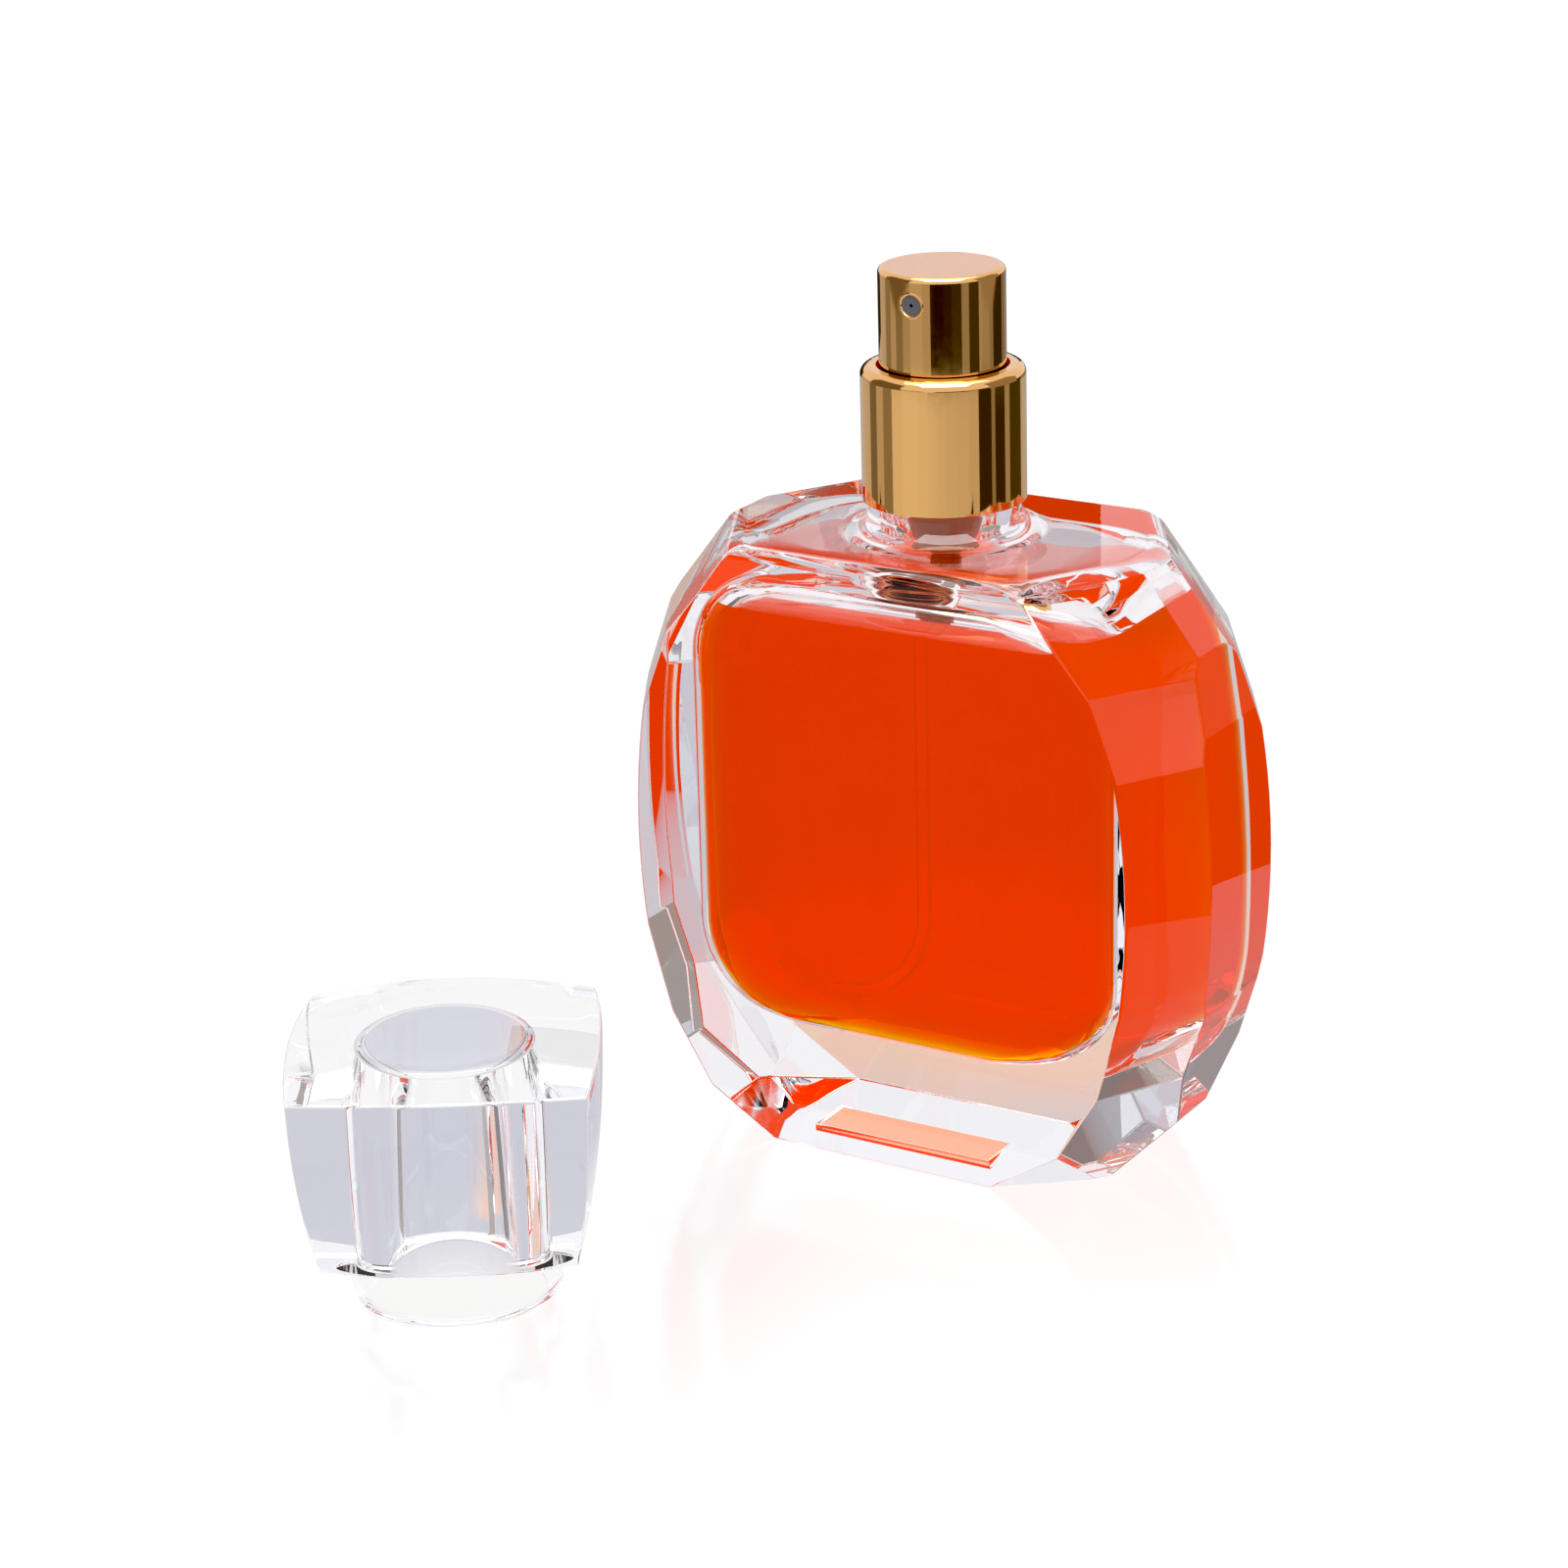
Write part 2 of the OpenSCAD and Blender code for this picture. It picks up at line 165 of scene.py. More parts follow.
# %% Finishing a mesh
def finish_mesh(bm, name, materials, weighted=False):
    """Turns a bmesh into a smooth-shaded object with outward normals."""
    bmesh.ops.recalc_face_normals(bm, faces=bm.faces)
    for face in bm.faces:
        face.smooth = True
    mesh = bpy.data.meshes.new(name)
    bm.to_mesh(mesh)
    bm.free()
    obj = bpy.data.objects.new(name, mesh)
    bpy.context.collection.objects.link(obj)
    for material in materials:
        mesh.materials.append(material)
    if weighted:
        modifier = obj.modifiers.new("flat_facets", "WEIGHTED_NORMAL")
        modifier.weight = 100
        modifier.keep_sharp = False
    print(f"{name}: {len(mesh.vertices)} points, {len(mesh.polygons)} faces, "
          f"{[round(side / MM, 1) for side in obj.dimensions]} mm")
    return obj


# %% [markdown]
# ## Starting a material
# A finish could be painted on, but here every one is a small tree of nodes, so its detail
# stays sharp at any size. Most finishes end in the Principled shader. Numbers that are the
# same all over a surface are set straight on its sockets.

# %% Starting a material
def new_material(name):
    material = bpy.data.materials.new(name)
    material.use_nodes = True
    material.node_tree.nodes.clear()
    return material, material.node_tree


def principled(tree, **values):
    """A Principled shader wired to a new output, with sockets set by name."""
    shader = tree.nodes.new("ShaderNodeBsdfPrincipled")
    output = tree.nodes.new("ShaderNodeOutputMaterial")
    tree.links.new(shader.outputs["BSDF"], output.inputs["Surface"])
    for key, value in values.items():
        shader.inputs[key.replace("_", " ")].default_value = value
    return shader, output


# %% [markdown]
# ## Small faults
# No real surface is perfect: pressed glass is a little wavy inside, and metal is never
# equally shiny all over. A noise could be painted, but a noise node in the object's own
# coordinates sticks to the surface and has no seams. One helper bends the surface slightly,
# and the other lets a value wander between two ends.

# %% Small faults
def noise_bump(tree, shader, scale, depth, detail=2.0):
    """Shallow waviness: a noise of that many waves a metre, depth in metres."""
    place = tree.nodes.new("ShaderNodeTexCoord")
    noise = tree.nodes.new("ShaderNodeTexNoise")
    bump = tree.nodes.new("ShaderNodeBump")
    noise.inputs["Scale"].default_value = scale
    noise.inputs["Detail"].default_value = detail
    bump.inputs["Distance"].default_value = depth
    tree.links.new(place.outputs["Object"], noise.inputs["Vector"])
    tree.links.new(noise.outputs["Fac"], bump.inputs["Height"])
    tree.links.new(bump.outputs["Normal"], shader.inputs["Normal"])
    return noise


NOISE_LOW, NOISE_HIGH = 0.3, 0.7  # a noise's values mostly lie between these


def noise_range(tree, socket, scale, low, high, detail=3.0):
    """Drives a socket between two values by a noise."""
    place = tree.nodes.new("ShaderNodeTexCoord")
    noise = tree.nodes.new("ShaderNodeTexNoise")
    spread = tree.nodes.new("ShaderNodeMapRange")
    noise.inputs["Scale"].default_value = scale
    noise.inputs["Detail"].default_value = detail
    spread.inputs["From Min"].default_value = NOISE_LOW
    spread.inputs["From Max"].default_value = NOISE_HIGH
    spread.inputs["To Min"].default_value = low
    spread.inputs["To Max"].default_value = high
    tree.links.new(place.outputs["Object"], noise.inputs["Vector"])
    tree.links.new(noise.outputs["Fac"], spread.inputs["Value"])
    tree.links.new(spread.outputs["Result"], socket)


FINE_BUMP = 0.01 * MM             # depth of the texture that a moulding tool leaves
print("a moulded bump is", FINE_BUMP / MM, "mm deep")

# %% [markdown]
# ## Clear glass
# The outside is ground and polished, so it is left perfectly smooth. The inside is shaped by
# the mould and the blown air, so it is slightly wavy. Where fragrance touches the glass,
# light passes from glass to liquid and bends less than it would into air. That face gets the
# ratio of the two refractive indices. Two overlapping skins would need no such sum, but
# Cycles can't tell which of them comes first.

# %% Clear glass
GLASS_IOR, LIQUID_IOR, ACRYLIC_IOR = 1.52, 1.36, 1.49
MOULD_WAVE, MOULD_WAVES = 0.10 * MM, 60   # depth of the mould's waviness, and waves a metre


def clear_material(name, ior, tint=(1, 1, 1, 1), wave=0.0):
    """Clear glass or plastic, perfectly smooth or with a slow wave of the given depth."""
    material, tree = new_material(name)
    shader, _ = principled(tree, Base_Color=tint, Roughness=0.0, IOR=ior, Transmission_Weight=1.0)
    if wave:
        noise_bump(tree, shader, MOULD_WAVES, wave)
    return material


glass_outer = clear_material("glass_polished", GLASS_IOR)
glass_inner = clear_material("glass_cavity_dry", GLASS_IOR, wave=MOULD_WAVE)
glass_wet = clear_material("glass_cavity_wet", GLASS_IOR / LIQUID_IOR, wave=MOULD_WAVE)
print(f"glass against fragrance bends light as an index of {GLASS_IOR / LIQUID_IOR:.3f}")

# %% [markdown]
# ## Clear plastics
# The cap is acrylic, a touch blue. The dip tube lies in the fragrance and all but vanishes,
# because its index is close to the liquid's, so it is given the ratio of the two. The pump's
# barrel is milky plastic that takes up the amber around it. It could be given scattering
# inside, which is slow to render, so this small part is made half clear, a little rough and
# faintly glowing instead.

# %% Clear plastics
acrylic = clear_material("acrylic", ACRYLIC_IOR, tint=(0.985, 0.985, 0.995, 1))
tube_plastic = clear_material("tube_plastic", 1.08, tint=(1.0, 0.97, 0.93, 1))
clear_plastic = clear_material("pump_clear_plastic", 1.25, tint=(0.40, 0.08, 0.01, 1), wave=0.02 * MM)
housing = clear_plastic.node_tree.nodes["Principled BSDF"]
housing.inputs["Transmission Weight"].default_value = 0.55
housing.inputs["Roughness"].default_value = 0.18
housing.inputs["Emission Color"].default_value = (0.80, 0.17, 0.01, 1)
housing.inputs["Emission Strength"].default_value = 0.10
print("clear plastics:", acrylic.name, tube_plastic.name, clear_plastic.name)

# %% [markdown]
# ## Fragrance
# The fragrance is dyed alcohol: light loses its blue and green along the way, so the colour
# comes from depth. A coloured skin would be simpler, but it would look like paint. The sides
# of the liquid are left clear, because the wet glass has bent the light already, and only the
# level bends it again. Absorption alone would turn the deep parts dark red and the thin edges
# yellow. The dye also scatters some light back, and a little glow inside stands for it and
# keeps one even orange.

# %% Fragrance
DYE_COLOUR, DYE_DENSITY = (0.98, 0.83, 0.0, 1), 2000
GLOW_COLOUR, GLOW_STRENGTH = (1.0, 0.56, 0.0, 1), 35
LEVEL_SKIN = 0.02 * MM            # the level is everything above this much below the liquid's top


def fragrance_inside(tree, output):
    """Absorption by the dye, and the glow of the light that it scatters."""
    dye = tree.nodes.new("ShaderNodeVolumeAbsorption")
    dye.inputs["Color"].default_value = DYE_COLOUR
    dye.inputs["Density"].default_value = DYE_DENSITY
    shine = tree.nodes.new("ShaderNodeEmission")
    shine.inputs["Color"].default_value = GLOW_COLOUR
    shine.inputs["Strength"].default_value = GLOW_STRENGTH
    inside = tree.nodes.new("ShaderNodeAddShader")
    tree.links.new(dye.outputs[0], inside.inputs[0])
    tree.links.new(shine.outputs[0], inside.inputs[1])
    tree.links.new(inside.outputs[0], output.inputs["Volume"])


def fragrance_skin(tree, output):
    """Clear against the glass, and refracting on the level."""
    place = tree.nodes.new("ShaderNodeTexCoord")
    split = tree.nodes.new("ShaderNodeSeparateXYZ")
    on_level = tree.nodes.new("ShaderNodeMath")
    on_level.operation = "GREATER_THAN"
    on_level.inputs[1].default_value = LIQUID_TOP - LEVEL_SKIN
    skin = tree.nodes.new("ShaderNodeBsdfTransparent")
    level = tree.nodes.new("ShaderNodeBsdfGlass")
    level.inputs["IOR"].default_value = LIQUID_IOR
    level.inputs["Roughness"].default_value = 0.0
    mix = tree.nodes.new("ShaderNodeMixShader")
    tree.links.new(place.outputs["Object"], split.inputs["Vector"])
    tree.links.new(split.outputs["Z"], on_level.inputs[0])
    tree.links.new(on_level.outputs[0], mix.inputs["Fac"])
    tree.links.new(skin.outputs[0], mix.inputs[1])
    tree.links.new(level.outputs[0], mix.inputs[2])
    tree.links.new(mix.outputs[0], output.inputs["Surface"])


fragrance, fragrance_tree = new_material("fragrance")
fragrance_output = fragrance_tree.nodes.new("ShaderNodeOutputMaterial")
fragrance_skin(fragrance_tree, fragrance_output)
fragrance_inside(fragrance_tree, fragrance_output)
print("fragrance: green is halved within",
      round(math.log(2) / (DYE_DENSITY * (1 - DYE_COLOUR[1])) / MM, 1), "mm")

# %% [markdown]
# ## Gold
# The collar and the button are drawn aluminium, anodised gold and polished to a mirror. The
# button's top is brushed to a satin. Both are plain metal shaders: a metal's look is nearly
# all reflection, so its colour matters less than what stands round it. A fine noise in the
# roughness keeps the mirror from looking too perfect.

# %% Gold
def gold_material(name, roughness, colour, waves=900):
    """Anodised aluminium: a mirror whose shine wanders a little."""
    material, tree = new_material(name)
    shader, _ = principled(tree, Base_Color=colour, Metallic=1.0)
    noise_range(tree, shader.inputs["Roughness"], waves, roughness * 0.8, roughness * 1.3)
    return material


gold = gold_material("gold_mirror", 0.05, (0.86, 0.49, 0.19, 1))
gold_top = gold_material("gold_satin", 0.34, (0.74, 0.46, 0.31, 1))
print("gold finishes:", gold.name, gold_top.name)

# %% [markdown]
# ## Plastics, rubber and steel
# The spray insert is moulded grey plastic and the pump's inner parts are white. The seals are
# matt black rubber, and the ball and the spring are steel. Moulded parts have a very shallow
# texture from the tool, so they get a bump, and metals get an uneven shine instead.

# %% Plastics, rubber and steel
def plastic_material(name, colour, roughness, wave=FINE_BUMP, waves=1500):
    """Moulded plastic, rubber or paper: matt, with the tool's shallow texture."""
    material, tree = new_material(name)
    shader, _ = principled(tree, Base_Color=colour, Roughness=roughness)
    noise_bump(tree, shader, waves, wave)
    return material


def metal_material(name, colour, roughness, waves=2500):
    """Bare metal with an uneven shine."""
    material, tree = new_material(name)
    shader, _ = principled(tree, Base_Color=colour, Metallic=1.0)
    noise_range(tree, shader.inputs["Roughness"], waves, roughness * 0.7, roughness * 1.4)
    return material


white_plastic = plastic_material("white_plastic", (0.85, 0.84, 0.82, 1), 0.3)
grey_plastic = plastic_material("grey_plastic", (0.13, 0.13, 0.145, 1), 0.35)
rubber = plastic_material("seal_rubber", (0.05, 0.05, 0.055, 1), 0.7)
steel = metal_material("steel", (0.62, 0.62, 0.63, 1), 0.22)
print("moulded finishes:", white_plastic.name, grey_plastic.name, rubber.name)

# %% [markdown]
# ## Label paper
# A blank salmon-coloured label is stuck under the base and is seen through the thick glass.
# Little light reaches it in a render, while in a real studio the lit table shines through the
# thin paper. A soft emission on the paper's shader does what the table would.

# %% Label paper
label_paper = plastic_material("label_paper", (0.90, 0.42, 0.26, 1), 0.6)
paper = label_paper.node_tree.nodes["Principled BSDF"]
paper.inputs["Emission Color"].default_value = (0.95, 0.50, 0.34, 1)
paper.inputs["Emission Strength"].default_value = 0.75
print("label finish:", label_paper.name)

# %% [markdown]
# ## The facets of the glass
# The flacon is ground like a gemstone: six flat cuts at each upright corner, four at each
# side, and tall side facets that bulge slightly. A facet could be modelled by moving points,
# but a grinder thinks in planes, and so does this table. Each row gives a cut's turn and
# tilt in degrees, and where it passes, as shares of the half width and of the height.

# %% The facets of the glass
CORNER_FACETS = [(30, 18, 0.81, 0.72), (30, 35, 0.63, 0.90), (55, 42, 0.44, 1.00),
                 (30, -14, 0.81, 0.30), (30, -28, 0.69, 0.14), (52, -45, 0.38, 0.00)]
SIDE_FACETS = [(0, 15, 1.00, 0.67), (0, 38, 0.92, 0.85),
               (0, -18, 1.00, 0.34), (0, -45, 0.875, 0.105)]
CORNER_TURN, CORNER_REACH = 30, 0.85
BULGE_PLANES, BULGE_TILT = 11, 8


def facet_normal(turn, tilt, sx=1, sy=1):
    t, u = math.radians(turn), math.radians(tilt)
    return Vector((sx * math.cos(t) * math.cos(u), -sy * math.sin(t) * math.cos(u), math.sin(u)))


def bulge_planes(edge, turn, sx, sy):
    """A fan of planes that touch an upright facet's slow bulge."""
    flat = facet_normal(turn, 0, sx, sy)
    centre = edge - flat * BULGE_R
    fan = []
    for k in range(BULGE_PLANES):
        tilt = -BULGE_TILT + 2 * BULGE_TILT * k / (BULGE_PLANES - 1)
        normal = facet_normal(turn, tilt, sx, sy)
        fan.append((centre + normal * BULGE_R, normal))
    return fan


def facet_planes():
    """Every cutting plane as (point, outward normal)."""
    planes = []
    for sx in (1, -1):
        for sy in (1, -1):
            for turn, tilt, x, z in CORNER_FACETS:
                point = Vector((sx * x * HALF_W, -sy * HALF_D, z * SHOULDER))
                planes.append((point, facet_normal(turn, tilt, sx, sy)))
            edge = Vector((sx * CORNER_REACH * HALF_W, -sy * HALF_D, MID_Z))
            planes += bulge_planes(edge, CORNER_TURN, sx, sy)
        for turn, tilt, x, z in SIDE_FACETS:
            planes.append((Vector((sx * x * HALF_W, 0, z * SHOULDER)), facet_normal(turn, tilt, sx)))
        planes += bulge_planes(Vector((sx * HALF_W, 0, MID_Z)), 0, sx, 1)
    return planes


print("cutting planes:", len(facet_planes()))

# %% [markdown]
# ## Cutting the block
# A box is cut by one plane after another, and each hole is closed before the next cut. A
# boolean with wedge-shaped blocks would give the same shape, but a plane cut leaves clean
# faces with no stray triangles, which matters for glass.

# %% Cutting the block
SPARE = 1 * MM                    # stock at each side that the grinder takes off
CUT_EXACT = 1e-7                  # a point this near to a plane is on it
NEAR_POINTS, SLIVER = 0.08 * MM, 0.02 * MM


def cut_block():
    bm = bmesh.new()
    bmesh.ops.create_cube(bm, size=1)
    bmesh.ops.scale(bm, verts=bm.verts, vec=(2 * HALF_W + 2 * SPARE, 2 * HALF_D, SHOULDER))
    bmesh.ops.translate(bm, verts=bm.verts, vec=(0, 0, MID_Z))
    for point, normal in facet_planes():
        bmesh.ops.bisect_plane(bm, geom=bm.verts[:] + bm.edges[:] + bm.faces[:], dist=CUT_EXACT,
                               plane_co=point, plane_no=normal, clear_outer=True)
        open_edges = [e for e in bm.edges if e.is_boundary]
        if open_edges:
            bmesh.ops.holes_fill(bm, edges=open_edges, sides=0)
    bmesh.ops.remove_doubles(bm, verts=bm.verts, dist=NEAR_POINTS)
    bmesh.ops.dissolve_degenerate(bm, edges=bm.edges, dist=SLIVER)
    return bm


flacon_mesh = cut_block()
print("flat faces after cutting:", len(flacon_mesh.faces))

# %% [markdown]
# ## Rounded edges and openings
# The shoulder's rim is fire-polished, so it is widely rounded, and the ground edges are only
# just broken. A bevel on chosen edges does both. The neck and the label's recess then need
# holes in flat faces, and a triangle fill between the face's outline and the hole's loop
# makes them without a boolean.

# %% Rounded edges and openings
RIM_ROUND, EDGE_ROUND = 1.5 * MM, 0.3 * MM
SHARP_ANGLE = 7                   # degrees; flatter edges are the slow bulges
BELOW_RIM = 1.0 * MM              # the ground edges end this far below the shoulder
LEVEL, SAME_HEIGHT = 0.9999, 0.01 * MM    # how level, and how near in height, a flat face is


def flat_face(bm, z, up):
    """The level face at height z that looks up (1) or down (-1)."""
    level = [f for f in bm.faces
             if f.normal.z * up > LEVEL and abs(f.calc_center_median().z - z) < SAME_HEIGHT]
    return max(level, key=lambda f: f.calc_area())


def round_edges(bm, edges, width, segments):
    bmesh.ops.bevel(bm, geom=edges, offset=width, segments=segments, profile=0.5,
                    affect="EDGES", clamp_overlap=True)


def open_face(bm, face, hole):
    """Replaces a flat face by one with a hole along the given vertex loop."""
    outer = list(face.edges)
    normal = face.normal.copy()
    bmesh.ops.delete(bm, geom=[face], context="FACES_ONLY")
    inner = []
    for k in range(len(hole)):
        pair = (hole[k], hole[(k + 1) % len(hole)])
        inner.append(bm.edges.get(pair) or bm.edges.new(pair))
    bmesh.ops.triangle_fill(bm, use_beauty=True, edges=outer + inner, normal=normal)


def polish_edges(bm):
    """Rounds the shoulder's rim, then breaks the edges below it."""
    round_edges(bm, list(flat_face(bm, SHOULDER, 1).edges), RIM_ROUND, 6)
    sharp = [e for e in bm.edges
             if len(e.link_faces) == 2 and math.degrees(e.calc_face_angle()) > SHARP_ANGLE
             and max(v.co.z for v in e.verts) < SHOULDER - BELOW_RIM]
    round_edges(bm, sharp, EDGE_ROUND, 3)


polish_edges(flacon_mesh)
print("faces after polishing the edges:", len(flacon_mesh.faces))

# %% [markdown]
# ## Neck and throat
# The neck rises from the shoulder through a round fillet, narrows to a waist, and ends in the
# ring that the pump's cup is crimped under. Turned shapes like this are drawn as a profile of
# radius and height. The same line goes over the lip and down the throat, so that the glass
# has one skin.

# %% Neck and throat
LIP_OUTER, LIP_INNER, THROAT_FLARE = 0.6 * MM, 0.5 * MM, 3 * MM
WAIST_START, RING_SLOPE = 0.4 * MM, 0.6 * MM


def neck_profile():
    """(r, z) from the shoulder up the neck, over the lip and down the throat."""
    waist_z, ring_z = SHOULDER + NECK_FILLET, NECK_TOP - RING_H
    line = arc(NECK_FOOT_R + NECK_FILLET, waist_z, NECK_FILLET, -90, -180, 10)
    line += [(WAIST_R, waist_z + WAIST_START), (WAIST_R, ring_z - RING_SLOPE), (RING_R, ring_z)]
    line += arc(RING_R - LIP_OUTER, NECK_TOP - LIP_OUTER, LIP_OUTER, 0, 90, 4)
    line += arc(THROAT_R + LIP_INNER, NECK_TOP - LIP_INNER, LIP_INNER, 90, 180, 4)
    line += arc(THROAT_R + THROAT_FLARE, CAVITY_HIGH + THROAT_FLARE, THROAT_FLARE, 180, 270, 8)
    return line


print("neck profile:", len(neck_profile()), "steps")

# %% [markdown]
# ## Sections of the cavity
# The cavity is described by its section at any height. The section shrinks near the floor and
# the ceiling, more along the width than along the depth, which rounds the corners. The same
# rule with a small gap gives the fragrance. Heights crowd together where the walls curve, and
# one of them lies exactly on the liquid's level, where the glass turns from wet to dry.

# %% Sections of the cavity
CORNER_SHARE = 0.85               # a corner takes up at most this share of the half depth
HEIGHT_APART, LEVEL_APART = 0.02 * MM, 0.1 * MM   # least gaps between heights, and to the level


def cavity_section(z, gap=0.0):
    """The cavity's round-cornered section at height z, shrunk by gap."""
    low, high = CAVITY_LOW + gap, CAVITY_HIGH - gap

    def reach(half, rounding):
        t = min(z - low, high - z, rounding)
        return half - rounding + math.sqrt(max(rounding ** 2 - (rounding - t) ** 2, 0))

    x, y = reach(CAVITY_W - gap, ROUND_FRONT), reach(CAVITY_D - gap, ROUND_SIDE)
    return round_loop(x, y, min(ROUND_PLAN, CORNER_SHARE * y), z)


def rounded_heights(low, high, rounding, steps=12):
    """Heights from low to high, close together where the ends are round."""
    ends = [rounding * (1 - math.cos(math.pi / 2 * k / steps)) for k in range(steps + 1)]
    return [low + t for t in ends] + [high - t for t in reversed(ends)]


def cavity_heights():
    heights = rounded_heights(CAVITY_LOW, CAVITY_HIGH, ROUND_FRONT)
    heights += rounded_heights(CAVITY_LOW, CAVITY_HIGH, ROUND_SIDE, 6)
    heights = sorted(heights)
    apart = [z for k, z in enumerate(heights) if k == 0 or z - heights[k - 1] > HEIGHT_APART]
    return sorted([z for z in apart if abs(z - LIQUID_TOP) > LEVEL_APART] + [LIQUID_TOP])


print("cavity sections:", len(cavity_heights()))

# %% [markdown]
# ## Cavity and neck in one skin
# The neck's loops and the cavity's sections are joined into a single tube, closed at the
# cavity's floor and stitched into the shoulder at its other end. Each band of faces is told
# whether it is outside, dry inside or wet inside.

# %% Cavity and neck in one skin
OUTSIDE, DRY, WET, STUCK = range(4)   # the flacon's finishes: polished, dry, wet, under the label
INNER_STEPS = 14                      # points of the profile from the lip's inner round inwards


def line_glass(bm):
    """Adds the neck, the throat and the cavity to the cut block."""
    profile = neck_profile()
    levels = list(reversed(cavity_heights()))
    loops = [circle_loop(r, z) for r, z in profile] + [cavity_section(z) for z in levels]
    inside = len(profile) - 1 - INNER_STEPS
    finishes = [DRY if k >= inside else OUTSIDE for k in range(len(profile))]
    finishes += [WET if z < LIQUID_TOP + 1e-9 else DRY for z in levels[:-1]]
    first, last = loft(bm, loops, finishes)
    bm.faces.new(last).material_index = WET
    open_face(bm, flat_face(bm, SHOULDER, 1), first)


line_glass(flacon_mesh)
print("faces with neck and cavity:", len(flacon_mesh.faces))

# %% [markdown]
# ## The label's recess
# Under the base a shallow pocket keeps the label off the table. It is a step up into the
# glass with a rectangle on its roof where the paper is stuck. That rectangle has the paper's
# finish, because there light meets paper without any air between, and it lies a hair above
# the label so that the two faces don't fight.

# %% The label's recess
label_low, label_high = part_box("base_label")
RECESS_MARGIN, LABEL_GAP = 0.5 * MM, 0.02 * MM


def label_corners(margin, z):
    """The label's four corners at height z, moved out by a margin."""
    return [(label_low[0] - margin, label_low[1] - margin, z),
            (label_high[0] + margin, label_low[1] - margin, z),
            (label_high[0] + margin, label_high[1] + margin, z),
            (label_low[0] - margin, label_high[1] + margin, z)]


def sink_label(bm):
    """Sinks the recess into the underside and marks where the paper is stuck."""
    roof_z = label_high[2] + LABEL_GAP
    mouth = add_loop(bm, label_corners(RECESS_MARGIN, 0))
    roof = add_loop(bm, label_corners(RECESS_MARGIN, roof_z))
    join_loops(bm, mouth, roof)
    stuck = add_loop(bm, label_corners(0, roof_z))
    join_loops(bm, roof, stuck)
    bm.faces.new(stuck).material_index = STUCK
    open_face(bm, flat_face(bm, 0, -1), mouth)


sink_label(flacon_mesh)
print(f"label recess: {(label_high[2] + LABEL_GAP) / MM:.2f} mm deep")

# %% [markdown]
# ## The glass flacon
# The glass is cut, polished, hollowed and recessed, and now it becomes an object with its four
# finishes. It could stay a bare mesh, but only an object can stand for the CAD glass and
# stay with the bottle's body when the joints move.

# %% The glass flacon
flacon_finishes = [glass_outer, glass_inner, glass_wet, label_paper]
flacon = finish_mesh(flacon_mesh, "glass_flacon", flacon_finishes, weighted=True)
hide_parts("glass_bottle")
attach(flacon, "bottle")

# %% [markdown]
# ## The fragrance fill
# The liquid touches the glass everywhere. If both skins lay in one place, Cycles would choose
# between them at random, so the liquid is drawn a few hundredths of a millimetre inside.

# %% The fragrance fill
FILL_GAP = 0.015 * MM


def build_liquid():
    bottom = CAVITY_LOW + FILL_GAP
    levels = [z for z in cavity_heights() if bottom < z < LIQUID_TOP]
    bm = bmesh.new()
    first, last = loft(bm, [cavity_section(z, FILL_GAP) for z in [bottom] + levels + [LIQUID_TOP]])
    bm.faces.new(first)
    bm.faces.new(last)
    return finish_mesh(bm, "fragrance_fill", [fragrance])


liquid = build_liquid()
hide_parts("fragrance_liquid")
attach(liquid, "bottle")

# %% [markdown]
# ## Sizes of the cap
# The cap is a clear block whose four walls and top all bulge, with a blind bore that fits
# over the pump. Its liner, which ends in the round foot, is bonded with clear cement. In the
# CAD these are two parts, but cement has no visible edge, so light meets block and liner as
# one piece and they are built as one.

# %% Sizes of the cap
cap_low, cap_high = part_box("cap_block")
liner_low, liner_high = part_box("cap_sleeve")
CAP_H, FOOT_H, SLEEVE_H = cap_high[2], cap_low[2], liner_high[2]
FOOT_R = (liner_high[0] - liner_low[0]) / 2
BORE_R, BORE_ROUND = 9.0 * MM, 1.2 * MM
CAP_W, CAP_D, SIDE_BULGE, FRONT_BULGE, DOME = (v * MM for v in (15.9, 16.5, 95, 50, 112))
CAP_EDGE, CAP_YAW = 0.35 * MM, 32
FOOT_EDGE, FOOT_ROOT = 0.25 * MM, 0.3 * MM
MOUTH_CHAMFER = 0.2 * MM          # broken edge at the bore's mouth
cap_middle = [(liner_low[k] + liner_high[k]) / 2 for k in (0, 1)]
cap_place = Matrix.Translation((*cap_middle, 0)) @ Matrix.Rotation(math.radians(CAP_YAW), 4, "Z")
print(f"cap: {CAP_H / MM:.1f} mm high on a foot of {2 * FOOT_R / MM:.1f} mm, "
      f"bore {SLEEVE_H / MM:.1f} mm deep")

# %% [markdown]
# ## The cap's bulging walls
# Each wall is a piece of a big sphere, and so is the top. A subdivision surface could puff a
# box up, but it gives no say over the radius. Here three short formulas tell how far a wall
# stands out and how high the dome is, so the bulges are exact.

# %% The cap's bulging walls
WIDEST_DROP = 1 * MM              # the walls stand out most this far below the top


def side_reach(y, z, inset):
    """How far a side wall stands out at distance y across it and height z."""
    below = z - CAP_H + WIDEST_DROP
    return CAP_W - inset - SIDE_BULGE + math.sqrt(SIDE_BULGE ** 2 - y ** 2 - below ** 2)


def front_reach(x, z, inset):
    """How far the front wall stands out at distance x across it and height z."""
    below = z - CAP_H + WIDEST_DROP
    return CAP_D - inset - FRONT_BULGE + math.sqrt(FRONT_BULGE ** 2 - x ** 2 - below ** 2)


def dome_z(x, y):
    """Height of the domed top."""
    return CAP_H - DOME + math.sqrt(DOME ** 2 - x ** 2 - y ** 2)


print(f"dome's edge is {(CAP_H - dome_z(CAP_W, CAP_D)) / MM:.1f} mm below its middle")

